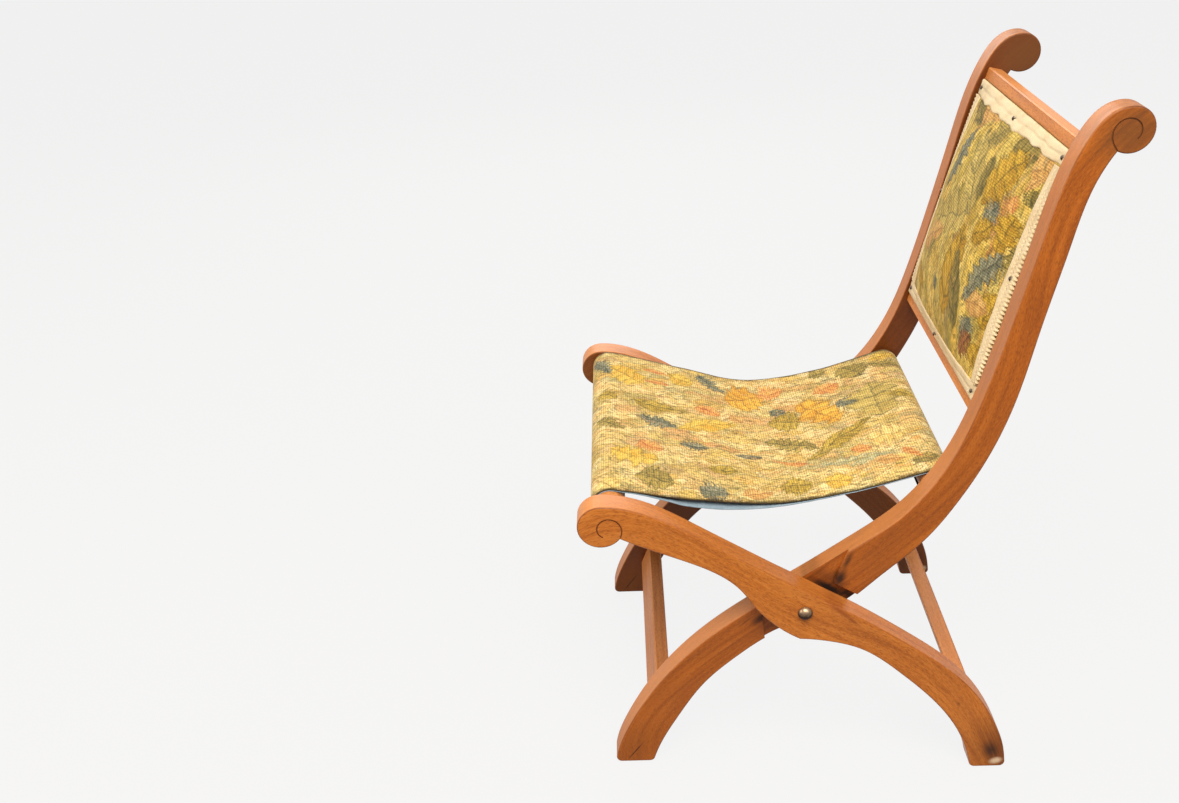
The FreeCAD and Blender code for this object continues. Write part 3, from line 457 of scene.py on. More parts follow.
    def shade_groove_and_edges(self, tree: bpy.types.NodeTree, body: bpy.types.NodeSocket,
                       blotches: bpy.types.NodeSocket) -> bpy.types.NodeSocket:
        """Paints shade into the scroll groove and a darker line on the rounded edges, under the
        outer face.

        Args:
            tree: Node tree of the material.
            body: Colour of the wood.
            blotches: Uneven value that breaks the line up.

        Returns:
            The new colour.
        """
        local = add_node(tree, "TexCoord").node.outputs["Object"]
        parts = add_node(tree, "SeparateXYZ", {0: local})
        depth = add_node(tree, "Math", {0: parts}, operation="ABSOLUTE")
        near = add_node(tree, "MapRange", {
            "Value": depth, "From Min": (self.outer_face - self.arris_width) * MM,
            "From Max": (self.outer_face - self.arris_core) * MM})
        beyond = add_node(tree, "MapRange", {
            "Value": depth, "From Min": (self.outer_face - self.face_skin[0]) * MM,
            "From Max": (self.outer_face - self.face_skin[1]) * MM})
        band = add_node(tree, "Math", {0: near, 1: beyond}, operation="MULTIPLY")
        away = add_node(tree, "VectorMath", {
            0: local, 1: (0.0, self.groove[0] * MM, self.groove[1] * MM)}, operation="SUBTRACT")
        flat = add_node(tree, "VectorMath", {0: away, 1: (0.0, 1.0, 1.0)}, operation="MULTIPLY")
        reach = add_node(tree, "VectorMath", {0: flat}, operation="LENGTH").node.outputs["Value"]
        # Painted shade in the scroll groove
        carved = add_node(tree, "MapRange", {
            "Value": reach, "From Min": self.groove[2] * MM,
            "From Max": (self.groove[2] - self.groove_fade) * MM, "To Max": 0.95})
        worn = add_node(tree, "MapRange", {
            "Value": blotches, "From Min": 0.36, "From Max": 0.70, "To Min": 0.12,
            "To Max": 0.75})
        # Mask of the groove's painted shade and of the uneven darker edge line
        grime = add_node(tree, "Math", {0: carved, 1: worn}, operation="MAXIMUM")
        band = add_node(tree, "Math", {0: band, 1: grime}, operation="MULTIPLY")
        return add_node(tree, "Mix", {0: band, "A": body, "B": self.groove_shade_and_edge_line}, data_type="RGBA")


@dataclass(frozen=True)
class BronzedSteel:
    """Turned steel, bronzed and dulled by age.

    The eye sees a smooth dark brown dome with tarnish spots. Painted reflection makes its upper
    side lighter and its lower side darker, and the darker parts are rougher.
    """

    name: str = "bronzed_steel"
    clean_and_bright_reflection: str = "#9a7f62"
    tarnish_and_dark_reflection: str = "#301e15"
    spot_size: float = 2.2
    roughness: float = 0.30
    # Extra roughness on the darker parts, which are tarnish and painted reflection
    grime: float = 0.22
    metallic: float = 0.9

    def material(self) -> bpy.types.Material:
        """Builds the finish.

        Returns:
            The material.
        """
        made, tree, shader = new_surface(self.name)
        place = add_node(tree, "TexCoord").node.outputs
        spots = add_node(tree, "TexNoise", {
            "Vector": place["Object"], "Scale": 1 / (self.spot_size * MM), "Detail": 3.0})
        # Painted reflection: upper side lighter, lower side darker, broken up by tarnish spots
        upward = add_node(tree, "VectorMath", {0: place["Normal"], 1: (0.0, 0.0, 1.0)},
                          operation="DOT_PRODUCT").node.outputs["Value"]
        worn = add_node(tree, "Math", {0: spots, 1: 0.9, 2: upward}, operation="MULTIPLY_ADD")
        worn = add_node(tree, "MapRange", {"Value": worn, "From Min": 0.25, "From Max": 1.20})
        body = add_node(tree, "Mix", {0: worn, "A": self.tarnish_and_dark_reflection, "B": self.clean_and_bright_reflection},
                        data_type="RGBA")
        rough = add_node(tree, "MapRange", {
            "Value": worn, "To Min": self.roughness + self.grime, "To Max": self.roughness})
        relief = add_node(tree, "Bump", {
            "Height": spots, "Strength": 0.25, "Distance": 0.1 * MM})
        tree.links.new(body, shader.inputs["Base Color"])
        tree.links.new(rough, shader.inputs["Roughness"])
        tree.links.new(relief, shader.inputs["Normal"])
        shader.inputs["Metallic"].default_value = self.metallic
        return made


@dataclass(frozen=True)
class Leaf:
    """One leaf of the tapestry in flat cloth millimetres: across, along and its turn."""

    kind: Motif
    place: tuple[float, float]
    size: tuple[float, float]
    turn: float
    colours: tuple[str, str, str]


GOLD = ("#f6cd60", "#dca63c", "#8f7434")
AMBER = ("#f0bf4e", "#db9a34", "#94602e")
STRAW = ("#f8dc8a", "#e0b860", "#967a44")
OLIVE = ("#d6b24c", "#a68634", "#5c5230")
MUSTARD = ("#dcae3c", "#ad7f26", "#5f4c22")
MOSS = ("#c2a654", "#8a763e", "#4a4630")
FERN = ("#a68e48", "#746634", "#3e3c26")
SLATE = ("#a29c7a", "#666a58", "#2f3633")
MIST = ("#dccc90", "#b4ac7c", "#7c7a5c")
CORAL = ("#f0b868", "#df9450", "#a65c34")
SAGE = ("#dec06a", "#b69a50", "#6c623c")
PEACH = ("#e8bb70", "#d09852", "#96683c")
RUST = ("#b87444", "#845030", "#452e1e")


def leaf_group() -> bpy.types.NodeTree:
    """Builds the node group that draws one leaf over the colour below it.

    The drawn coordinates leave the group a millionth of a millimetre off, by the leaf's colour.
    So each leaf waits for the one before it, and the renderer never holds them all at once.
    The plain numbers in it are millimetres of cloth or shares of the leaf.

    Returns:
        The group. Its coordinates and sizes are in millimetres of flat cloth.
    """
    group = bpy.data.node_groups.new("woven_leaf", "ShaderNodeTree")
    sockets = (("Flat", "Vector"), ("Below", "Color"), ("Hatch", "Float"),
               ("Centre", "Vector"), ("Turn", "Float"),
               ("Size", "Vector"), ("Lobes", "Float"), ("Notch", "Float"),
               ("Light", "Color"), ("Dark", "Color"), ("Line", "Color"))
    for name, kind in sockets:
        group.interface.new_socket(name, in_out="INPUT", socket_type="NodeSocket" + kind)
    for name, kind in (("Colour", "Color"), ("Flat", "Vector")):
        group.interface.new_socket(name, in_out="OUTPUT", socket_type="NodeSocket" + kind)
    given = group.nodes.new("NodeGroupInput").outputs
    away = add_node(group, "VectorMath", {0: given["Flat"], 1: given["Centre"]},
                    operation="SUBTRACT")
    turned = add_node(group, "VectorRotate", {
        "Vector": away, "Angle": given["Turn"]}, rotation_type="Z_AXIS", invert=True)
    shares = add_node(group, "VectorMath", {0: turned, 1: given["Size"]}, operation="DIVIDE")
    shares = add_node(group, "SeparateXYZ", {0: shares}).node.outputs
    split = add_node(group, "SeparateXYZ", {0: turned}).node.outputs
    size = add_node(group, "SeparateXYZ", {0: given["Size"]}).node.outputs
    side = add_node(group, "Math", {0: split["Y"]}, operation="ABSOLUTE")
    share = add_node(group, "Math", {0: shares["Y"]}, operation="ABSOLUTE")
    square = add_node(group, "Math", {0: shares["X"], 1: shares["X"]}, operation="MULTIPLY")
    arch = add_node(group, "Math", {0: square, 1: -4.0, 2: 1.0}, operation="MULTIPLY_ADD")
    arch = add_node(group, "Math", {0: arch, 1: 0.0}, operation="MAXIMUM")
    full = add_node(group, "Math", {0: arch, 1: 0.72}, operation="POWER")
    slant = add_node(group, "Math", {0: shares["X"], 1: given["Lobes"], 2: 20.0},
                     operation="MULTIPLY_ADD")
    slant = add_node(group, "Math", {0: share, 1: -1.3, 2: slant}, operation="MULTIPLY_ADD")
    lobe = add_node(group, "Math", {0: slant}, operation="FRACT")
    notch = add_node(group, "Math", {0: lobe, 1: given["Notch"]}, operation="MULTIPLY")
    notch = add_node(group, "Math", {0: 1.0, 1: notch}, operation="SUBTRACT")
    half = add_node(group, "Math", {0: full, 1: notch}, operation="MULTIPLY")
    half = add_node(group, "Math", {0: half, 1: size["Y"]}, operation="MULTIPLY")
    edge = add_node(group, "Math", {0: half, 1: 0.5}, operation="MULTIPLY")
    edge = add_node(group, "Math", {0: edge, 1: side}, operation="SUBTRACT")
    tip = add_node(group, "Math", {0: arch, 1: size["X"]}, operation="MULTIPLY")
    tip = add_node(group, "Math", {0: tip, 1: 0.25}, operation="MULTIPLY")
    inside = add_node(group, "Math", {0: edge, 1: tip}, operation="MINIMUM")
    ragged = add_node(group, "Math", {0: given["Hatch"], 1: 9.0, 2: inside},
                      operation="MULTIPLY_ADD")
    mask = add_node(group, "MapRange", {
        "Value": ragged, "From Min": -1.0, "From Max": 1.4, "To Max": 0.94})
    border = add_node(group, "MapRange", {
        "Value": ragged, "From Min": 3.4, "From Max": 1.8, "To Max": 0.7})
    rib = add_node(group, "MapRange", {
        "Value": side, "From Min": 1.9, "From Max": 0.7, "To Max": 0.9})
    vein = add_node(group, "MapRange", {
        "Value": lobe, "From Min": 0.26, "From Max": 0.10, "To Max": 0.85})
    finer = add_node(group, "Math", {0: slant, 1: 4.0}, operation="MULTIPLY")
    finer = add_node(group, "Math", {0: finer}, operation="FRACT")
    stroke = add_node(group, "MapRange", {
        "Value": finer, "From Min": 0.55, "From Max": 0.20, "To Max": 0.5})
    vein = add_node(group, "Math", {0: stroke, 1: vein}, operation="MAXIMUM")
    drawn = add_node(group, "Math", {0: rib, 1: vein}, operation="MAXIMUM")
    drawn = add_node(group, "Math", {0: border, 1: drawn}, operation="MAXIMUM")
    broken = add_node(group, "MapRange", {
        "Value": given["Hatch"], "From Min": 0.26, "From Max": -0.02})
    drawn = add_node(group, "Math", {0: drawn, 1: broken}, operation="MULTIPLY")
    lit = add_node(group, "MapRange", {"Value": split["Y"], "From Min": -2.0, "From Max": 2.0,
                                       "To Min": 0.2, "To Max": 0.65})
    fade = add_node(group, "MapRange", {"Value": lobe, "From Min": 0.2, "From Max": 1.0,
                                        "To Min": 0.40, "To Max": -0.25})
    tone = add_node(group, "Math", {0: lit, 1: fade}, operation="ADD")
    tone = add_node(group, "Math", {0: given["Hatch"], 1: 2.6, 2: tone},
                    operation="MULTIPLY_ADD", use_clamp=True)
    blade = add_node(group, "Mix", {0: tone, "A": given["Dark"], "B": given["Light"]},
                     data_type="RGBA")
    blade = add_node(group, "Mix", {0: drawn, "A": blade, "B": given["Line"]}, data_type="RGBA")
    out = add_node(group, "Mix", {0: mask, "A": given["Below"], "B": blade}, data_type="RGBA")
    waits = add_node(group, "VectorMath", {0: out, 1: (1e-6, 1e-6, 0.0), 2: given["Flat"]},
                     operation="MULTIPLY_ADD")
    ends = group.nodes.new("NodeGroupOutput").inputs
    group.links.new(out, ends["Colour"])
    group.links.new(waits, ends["Flat"])
    return group


@dataclass(frozen=True)
class VerdureTapestry:
    """Woven wool and cotton furnishing tapestry with a leaf pattern, ribbed across.

    The eye sees a matt ribbed cloth with short colour strokes along it and large drawn leaves.
    Lengths are in millimetres of flat cloth, and turns in degrees.
    """

    name: str
    leaves: tuple[Leaf, ...]
    ground: str = "#f2d28a"
    ground_light: str = "#fbe2a2"
    ground_dark: str = "#dcb970"
    strokes: tuple[str, ...] = ("#d8985a", "#948044", "#7c7a5e", "#cc8e46")
    stroke_gates: tuple[float, ...] = (0.57, 0.58, 0.61, 0.59)
    crowd: tuple[str, ...] = ("#e2b54c", "#f2dc92", "#d8a544", "#bca458", "#ecca70", "#e0a468",
                              "#a89c68", "#e6bd5a")
    crowd_line: str = "#5c512c"
    crowd_size: tuple[float, float] = (17.0, 34.0)
    crowd_turn: float = 14.0
    crowd_lines: float = 0.85
    crowd_strength: float = 0.66
    pen_size: tuple[float, float] = (15.0, 50.0)
    pen_levels: float = 13.0
    pen_strength: float = 0.70
    pen_lean: float = 12.0
    rib_pitch: float = 3.0
    thread: float = 1.4
    stroke_length: float = 30.0
    stroke_width: float = 2.4
    hatch_length: float = 15.0
    hatch_width: float = 2.0
    hatch_turn: float = 7.0
    drift: float = 7.0
    push_size: float = 34.0
    cloud_size: float = 26.0
    patch_size: float = 42.0
    reverse: str = "#4c4230"
    fray: str = "#2e2416"
    roughness: float = 0.88
    gloss: float = 0.08
    sheen: float = 0.05

    def material(self) -> bpy.types.Material:
        """Builds the finish.

        Returns:
            The material.
        """
        made, tree, shader = new_surface(self.name)
        raw = add_node(tree, "Attribute", attribute_name="flat").node.outputs["Vector"]
        flat = add_node(tree, "VectorMath", {0: raw, 1: (1 / MM, 1 / MM, 0.0)},
                        operation="MULTIPLY")
        stepped = add_node(tree, "VectorMath", {
            0: flat, 1: (self.thread, self.rib_pitch / 2, 1.0)}, operation="SNAP")
        push = add_node(tree, "TexNoise", {
            "Vector": stepped, "Scale": 1 / self.push_size, "Detail": 2.5}).node.outputs["Color"]
        push = add_node(tree, "VectorMath", {0: push, 1: (0.5, 0.5, 0.5)}, operation="SUBTRACT")
        push = add_node(tree, "VectorMath", {
            0: push, 1: (4 * self.drift, 3 * self.drift, 0.0)}, operation="MULTIPLY")
        drawn = add_node(tree, "VectorMath", {0: stepped, 1: push}, operation="ADD")
        hatch = add_node(tree, "TexNoise", {
            "Vector": add_node(tree, "Mapping", {
                "Vector": drawn, "Rotation": (0.0, 0.0, math.radians(self.hatch_turn)),
                "Scale": (1 / self.hatch_width, 1 / self.hatch_length, 1.0)}),
            "Scale": 1.0, "Detail": 2.0})
        hatch = add_node(tree, "Math", {0: hatch, 1: 0.5}, operation="SUBTRACT")
        colour = self.strokes_over_ground(tree, drawn)
        colour = self.small_leaves(tree, drawn, hatch, colour)
        colour = self.pen_lines(tree, drawn, hatch, colour)
        group = bpy.data.node_groups.get("woven_leaf") or leaf_group()
        for leaf in self.leaves:
            colour = add_node(tree, "Group", {
                "Flat": drawn, "Below": colour, "Hatch": hatch, "Centre": (*leaf.place, 0.0),
                "Turn": math.radians(leaf.turn), "Size": (*leaf.size, 1.0),
                "Lobes": leaf.kind.value[0], "Notch": leaf.kind.value[1],
                "Light": leaf.colours[0], "Dark": leaf.colours[1], "Line": leaf.colours[2],
            }, node_tree=group)
            drawn = colour.node.outputs["Flat"]
        depth = add_node(tree, "SeparateXYZ", {0: raw}).node.outputs["Z"]
        worn = add_node(tree, "Math", {0: hatch, 1: 0.22, 2: depth}, operation="MULTIPLY_ADD")
        worn = add_node(tree, "MapRange", {
            "Value": worn, "From Min": 0.045, "From Max": 0.115, "To Max": 0.85})
        colour = add_node(tree, "Mix", {0: worn, "A": colour, "B": self.fray}, data_type="RGBA")
        under = add_node(tree, "MapRange", {"Value": depth, "From Min": 0.15, "From Max": 0.5})
        self.weave(tree, shader, flat, colour, under)
        shader.inputs["Roughness"].default_value = self.roughness
        shader.inputs["Specular IOR Level"].default_value = self.gloss
        shader.inputs["Sheen Weight"].default_value = self.sheen
        shader.inputs["Sheen Roughness"].default_value = 0.5
        return made

    def strokes_over_ground(self, tree: bpy.types.NodeTree,
                            drawn: bpy.types.NodeSocket) -> bpy.types.NodeSocket:
        """Draws the straw ground and the short strokes that run along the cloth.

        Args:
            tree: Node tree of the material.
            drawn: Flat coordinates in millimetres, a little pushed about.

        Returns:
            Colour of the cloth below its leaves.
        """
        soft = add_node(tree, "TexNoise", {
            "Vector": drawn, "Scale": 1 / self.cloud_size, "Detail": 3.0})
        colour = add_node(tree, "ValToRGB", {0: soft}, stops=(
            (0.34, self.ground_dark), (0.66, self.ground_light), (0.50, self.ground)))
        for i, (stroke, gate) in enumerate(zip(self.strokes, self.stroke_gates)):
            laid = add_node(tree, "Mapping", {
                "Vector": drawn, "Location": (31.7 * i, 17.3 * i, 9.1 * i),
                "Rotation": (0.0, 0.0, math.radians(-14 + 9 * i)),
                "Scale": (1 / self.stroke_width, 1 / self.stroke_length, 1.0)})
            line = add_node(tree, "TexNoise", {
                "Vector": laid, "Scale": 1.0, "Detail": 2.0, "Roughness": 0.45})
            spread = add_node(tree, "TexNoise", {
                "Vector": add_node(tree, "Mapping", {
                    "Vector": drawn, "Location": (57.1 * i + 11.0, 0.0, 0.0)}),
                "Scale": 1 / self.patch_size, "Detail": 1.0})
            both = add_node(tree, "Math", {0: spread, 1: 0.55, 2: line}, operation="MULTIPLY_ADD")
            mask = add_node(tree, "MapRange", {
                "Value": both, "From Min": gate + 0.28, "From Max": gate + 0.34, "To Max": 0.6})
            colour = add_node(tree, "Mix", {0: mask, "A": colour, "B": stroke}, data_type="RGBA")
        return colour

    def small_leaves(self, tree: bpy.types.NodeTree, drawn: bpy.types.NodeSocket,
                     hatch: bpy.types.NodeSocket,
                     colour: bpy.types.NodeSocket) -> bpy.types.NodeSocket:
        """Fills the ground with small crowded leaves, each with its rib and its veins.

        Args:
            tree: Node tree of the material.
            drawn: Flat coordinates in millimetres, a little pushed about.
            hatch: Uneven value that breaks lines and edges up.
            colour: Colour of the ground.

        Returns:
            Colour of the cloth below its large leaves.
        """
        laid = add_node(tree, "Mapping", {
            "Vector": drawn, "Rotation": (0.0, 0.0, math.radians(self.crowd_turn)),
            "Scale": (1 / self.crowd_size[0], 1 / self.crowd_size[1], 1.0)})
        cells = add_node(tree, "TexVoronoi", {"Vector": laid, "Scale": 1.0}).node.outputs
        edges = add_node(tree, "TexVoronoi", {"Vector": laid, "Scale": 1.0},
                         feature="DISTANCE_TO_EDGE")
        picks = add_node(tree, "SeparateColor", {0: cells["Color"]}).node.outputs
        blade = add_node(tree, "ValToRGB", {0: picks["Red"]}, stops=tuple(
            (i / (len(self.crowd) - 1), c) for i, c in enumerate(self.crowd)))
        inner = add_node(tree, "VectorMath", {0: laid, 1: cells["Position"]},
                         operation="SUBTRACT")
        inner = add_node(tree, "SeparateXYZ", {0: inner}).node.outputs
        side = add_node(tree, "Math", {0: inner["X"]}, operation="ABSOLUTE")
        slant = add_node(tree, "Math", {0: side, 1: -0.8, 2: inner["Y"]},
                         operation="MULTIPLY_ADD")
        slant = add_node(tree, "Math", {0: slant, 1: 6.0}, operation="MULTIPLY")
        slant = add_node(tree, "Math", {0: slant}, operation="FRACT")
        vein = add_node(tree, "MapRange", {
            "Value": slant, "From Min": 0.42, "From Max": 0.12, "To Max": 0.55})
        rib = add_node(tree, "MapRange", {"Value": side, "From Min": 0.10, "From Max": 0.04})
        rim = add_node(tree, "MapRange", {
            "Value": edges, "From Min": 0.11, "From Max": 0.03, "To Max": 0.7})
        lines = add_node(tree, "Math", {0: vein, 1: rib}, operation="MAXIMUM")
        lines = add_node(tree, "Math", {0: lines, 1: rim}, operation="MAXIMUM")
        broken = add_node(tree, "MapRange", {
            "Value": hatch, "From Min": 0.22, "From Max": -0.06, "To Max": self.crowd_lines})
        lines = add_node(tree, "Math", {0: lines, 1: broken}, operation="MULTIPLY")
        blade = add_node(tree, "Mix", {0: lines, "A": blade, "B": self.crowd_line},
                         data_type="RGBA")
        there = add_node(tree, "MapRange", {
            "Value": picks["Green"], "From Min": 0.25, "From Max": 0.45, "To Min": 0.15,
            "To Max": self.crowd_strength})
        return add_node(tree, "Mix", {0: there, "A": colour, "B": blade}, data_type="RGBA")

    def pen_lines(self, tree: bpy.types.NodeTree, drawn: bpy.types.NodeSocket,
                  hatch: bpy.types.NodeSocket,
                  colour: bpy.types.NodeSocket) -> bpy.types.NodeSocket:
        """Draws long thin dark lines that flow along the cloth between the large leaves.

        Args:
            tree: Node tree of the material.
            drawn: Flat coordinates in millimetres, a little pushed about.
            hatch: Uneven value that breaks the lines up.
            colour: Colour of the ground and its small leaves.

        Returns:
            Colour of the cloth below its large leaves.
        """
        laid = add_node(tree, "Mapping", {
            "Vector": drawn,
            "Rotation": (0.0, 0.0, math.radians(self.crowd_turn - self.pen_lean)),
            "Scale": (1 / self.pen_size[0], 1 / self.pen_size[1], 1.0)})
        level = add_node(tree, "TexNoise", {
            "Vector": laid, "Scale": 1.0, "Detail": 1.0, "Roughness": 0.4})
        level = add_node(tree, "Math", {0: level, 1: self.pen_levels}, operation="MULTIPLY")
        level = add_node(tree, "Math", {0: level}, operation="FRACT")
        line = add_node(tree, "MapRange", {"Value": level, "From Min": 0.42, "From Max": 0.14})
        broken = add_node(tree, "MapRange", {
            "Value": hatch, "From Min": 0.14, "From Max": -0.06, "To Max": self.pen_strength})
        line = add_node(tree, "Math", {0: line, 1: broken}, operation="MULTIPLY")
        return add_node(tree, "Mix", {0: line, "A": colour, "B": self.crowd_line},
                        data_type="RGBA")

    def weave(self, tree: bpy.types.NodeTree, shader: bpy.types.Node,
              flat: bpy.types.NodeSocket, colour: bpy.types.NodeSocket,
              under: bpy.types.NodeSocket) -> None:
        """Adds the ribs and the uneven threads, drawn coarser than real ones so that they show.

        Args:
            tree: Node tree of the material.
            shader: Principled node.
            flat: Flat coordinates in millimetres.
            colour: Colour of the pattern.
            under: 1 on the cloth's cut edge and its back, and 0 on its face.
        """
        split = add_node(tree, "SeparateXYZ", {0: flat}).node.outputs
        turn = add_node(tree, "Math", {0: split["Y"], 1: math.pi / self.rib_pitch},
                        operation="MULTIPLY")
        rib = add_node(tree, "Math", {0: add_node(
            tree, "Math", {0: turn}, operation="SINE")}, operation="ABSOLUTE")
        threads = add_node(tree, "TexNoise", {
            "Vector": add_node(tree, "Mapping", {
                "Vector": flat, "Scale": (1 / self.thread, 1 / self.rib_pitch, 1.0)}),
            "Scale": 1.0, "Detail": 2.0})
        shade = add_node(tree, "MapRange", {
            "Value": rib, "From Max": 0.8, "To Min": 0.66, "To Max": 1.06})
        uneven = add_node(tree, "MapRange", {
            "Value": threads, "From Min": 0.3, "From Max": 0.7, "To Min": 0.80, "To Max": 1.18})
        shade = add_node(tree, "Math", {0: shade, 1: uneven}, operation="MULTIPLY")
        colour = add_node(tree, "VectorMath", {0: colour, "Scale": shade}, operation="SCALE")
        colour = add_node(tree, "Mix", {0: under, "A": colour, "B": self.reverse},
                          data_type="RGBA")
        height = add_node(tree, "Math", {0: threads, 1: 0.5, 2: rib}, operation="MULTIPLY_ADD")
        relief = add_node(tree, "Bump", {
            "Height": height, "Strength": 0.6, "Distance": 0.4 * MM})
        tree.links.new(colour, shader.inputs["Base Color"])
        tree.links.new(relief, shader.inputs["Normal"])


@dataclass(frozen=True)
class PlainWeave:
    """Cloth of one yarn, dyed or raw: cotton lining, cotton braid, jute webbing or wadding.

    The eye sees a matt, slightly hairy cloth with an even grid of threads and faint soiled
    clouds. The threads are drawn coarser than real ones, so that they show. Lengths are in
    millimetres, and twill is the turn of the threads in degrees.
    """

    name: str
    ground: str
    light: str
    dark: str
    thread: float = 1.6
    twill: float = 0.0
    soiling: float = 0.35
    relief: float = 0.35
    roughness: float = 0.9
    sheen: float = 0.15
    gloss: float = 0.2
    cloud_size: float = 22.0
    fuzz_size: float = 1.9

    def material(self) -> bpy.types.Material:
        """Builds the finish.

        Returns:
            The material.
        """
        made, tree, shader = new_surface(self.name)
        raw = add_node(tree, "Attribute", attribute_name="flat").node.outputs["Vector"]
        turned = add_node(tree, "Mapping", {
            "Vector": raw, "Rotation": (0.0, 0.0, math.radians(self.twill)),
            "Scale": (1 / MM, 1 / MM, 1.0)})
        split = add_node(tree, "SeparateXYZ", {0: turned}).node.outputs
        waves = []
        for part in ("X", "Y"):
            turn = add_node(tree, "Math", {0: split[part], 1: 2 * math.pi / self.thread},
                            operation="MULTIPLY")
            waves.append(add_node(tree, "Math", {0: turn}, operation="SINE"))
        woven = add_node(tree, "Math", {0: waves[0], 1: waves[1]}, operation="MULTIPLY")
        cloudy, fuzz = [
            add_node(tree, "TexNoise", {"Vector": turned, "Scale": 1 / size, "Detail": detail})
            for size, detail in ((self.cloud_size, 4.0), (self.fuzz_size, 2.0))]
        body = add_node(tree, "ValToRGB", {0: cloudy}, stops=(
            (0.32, self.dark), (0.68, self.light), (0.50, self.ground)))
        body = add_node(tree, "Mix", {0: self.soiling, "A": self.ground, "B": body},
                        data_type="RGBA")
        shade = add_node(tree, "MapRange", {
            "Value": woven, "From Min": -1.0, "From Max": 1.0, "To Min": 0.90, "To Max": 1.06})
        speck = add_node(tree, "MapRange", {
            "Value": fuzz, "From Min": 0.3, "From Max": 0.7, "To Min": 0.90, "To Max": 1.08})
        shade = add_node(tree, "Math", {0: shade, 1: speck}, operation="MULTIPLY")
        body = add_node(tree, "VectorMath", {0: body, "Scale": shade}, operation="SCALE")
        height = add_node(tree, "Math", {0: fuzz, 1: 1.2, 2: woven}, operation="MULTIPLY_ADD")
        relief = add_node(tree, "Bump", {
            "Height": height, "Strength": 0.6, "Distance": self.relief * MM})
        tree.links.new(body, shader.inputs["Base Color"])
        tree.links.new(relief, shader.inputs["Normal"])
        shader.inputs["Roughness"].default_value = self.roughness
        shader.inputs["Specular IOR Level"].default_value = self.gloss
        shader.inputs["Sheen Weight"].default_value = self.sheen
        return made


@dataclass
class WoodFrame:
    """The beech members, rails and stretchers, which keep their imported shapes."""

    nodes: dict[str, bpy.types.Object]
    pale: dict[str, str] = field(default_factory=lambda: {
        "ground": "#b66c36", "light": "#cc8448", "dark": "#935024", "fleck": "#70391a"})

    def dress(self) -> None:
        """Gives each wooden piece its grain and its marks."""
        seat = VarnishedBeech(
            "seat_member_beech", Grain.SEAT_MEMBER, outer_face=233.5, groove=(-279.0, 384.5, 29.0),
            marks=(
                # Painted shade: the rear foot darker towards the floor
                Mark((225.0, 25.0), (88.0, 50.0), -62.0, "#64310e", 0.80, 0.5),
                Mark((211.0, 28.0), (24.0, 16.0), -70.0, "#2c160c", 0.90, 0.7),
                Mark((219.0, 10.0), (12.0, 7.5), 15.0, "#dcbc98", 0.95, 0.3),
                Mark((163.0, 106.0), (7.0, 4.0), -75.0, "#5e2d10", 0.6, 0.9),
                Mark((24.0, 239.0), (17.0, 3.5), -40.0, "#7a3312", 0.7, 0.7),
                Mark((9.0, 253.0), (40.0, 6.5), -43.0, "#7a3312", 0.55, 0.6),
                Mark((137.0, 133.0), (20.0, 3.0), -43.0, "#7a3c14", 0.5, 0.9),
                # Painted shadow: a dark ring round the pivot bolt's head
                Mark((-35.0, 254.0), (13.0, 13.0), 0.0, "#5a2b10", 0.5, 0.7),
            ))
        upright = VarnishedBeech(
            "upright_beech", Grain.UPRIGHT, outer_face=207.5, groove=(282.0, 828.0, 26.5),
            ground="#a65716", light="#ba6925", dark="#7e3e0f", marks=(
                # Painted shade: the front foot darker towards the floor
                Mark((-246.0, 20.0), (75.0, 45.0), 62.0, "#884812", 0.40, 0.5),
                # Painted shade: the top scroll's outer face darker
                Mark((284.0, 826.0), (62.0, 50.0), 40.0, "#663c18", 0.75, 0.5),
                # Dirt and painted shade over the lap recess
                Mark((-4.0, 281.0), (46.0, 20.0), -32.0, "#522a10", 0.65, 0.6),
                # Painted shadow in a wedge along the lap's ridge
                Mark((10.0, 285.0), (20.0, 11.0), 67.0, "#241108", 0.95, 0.5),
                Mark((18.0, 309.0), (22.0, 5.5), 67.0, "#321a0c", 0.80, 0.6),
                # Painted shadow with some dirt, along the seat member's edge on the floor of the
                # lap
                Mark((-2.0, 266.8), (48.0, 10.0), -32.0, "#180b06", 1.0, 0.35),
                Mark((22.0, 257.0), (20.0, 10.0), -32.0, "#180b06", 0.95, 0.5),
                # Painted shadow below the crossing, on the front leg
                Mark((-86.0, 228.0), (22.0, 11.0), 40.0, "#2a150a", 0.9, 0.8),
                Mark((-104.0, 224.0), (26.0, 3.0), 42.0, "#4a2410", 0.7, 0.8),
                Mark((-247.0, 18.0), (27.0, 1.3), 54.0, "#341809", 0.9, 0.3),
            ))
        across = VarnishedBeech("rail_beech", Grain.ACROSS, ground="#ca7a36", light="#e0944e",
                                dark="#a45a20", wear_and_highlight_side=(0.0, -0.3, 0.95), gloss=0.16,
                                coat=0.06)
        stretcher = VarnishedBeech("stretcher_beech", Grain.ACROSS, streak_width=5.0, gloss=0.14,
                                   coat=0.04, wear_and_highlight_share=0.25, **self.pale)
        stile = VarnishedBeech("stile_beech", Grain.PANEL)
        finishes = {
            seat: ("seat_member_left", "seat_member_right"),
            upright: ("upright_left", "upright_right"),
            across: ("top_rail", "bottom_rail", "seat_front_rail", "seat_rear_rail"),
            stretcher: ("front_stretcher", "rear_stretcher"),
            stile: ("back_stile_left", "back_stile_right"),
        }
        for finish, names in finishes.items():
            material = finish.material()
            for name in names:
                dress_node(self.nodes[name], material)


def dress_node(node: bpy.types.Object, material: bpy.types.Material) -> None:
    """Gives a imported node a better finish.

    Args:
        node: The node's object.
        material: Its finish.
    """
    node.data.materials.clear()
    node.data.materials.append(material)
    LOG.info("%s: %s", node.name, material.name)


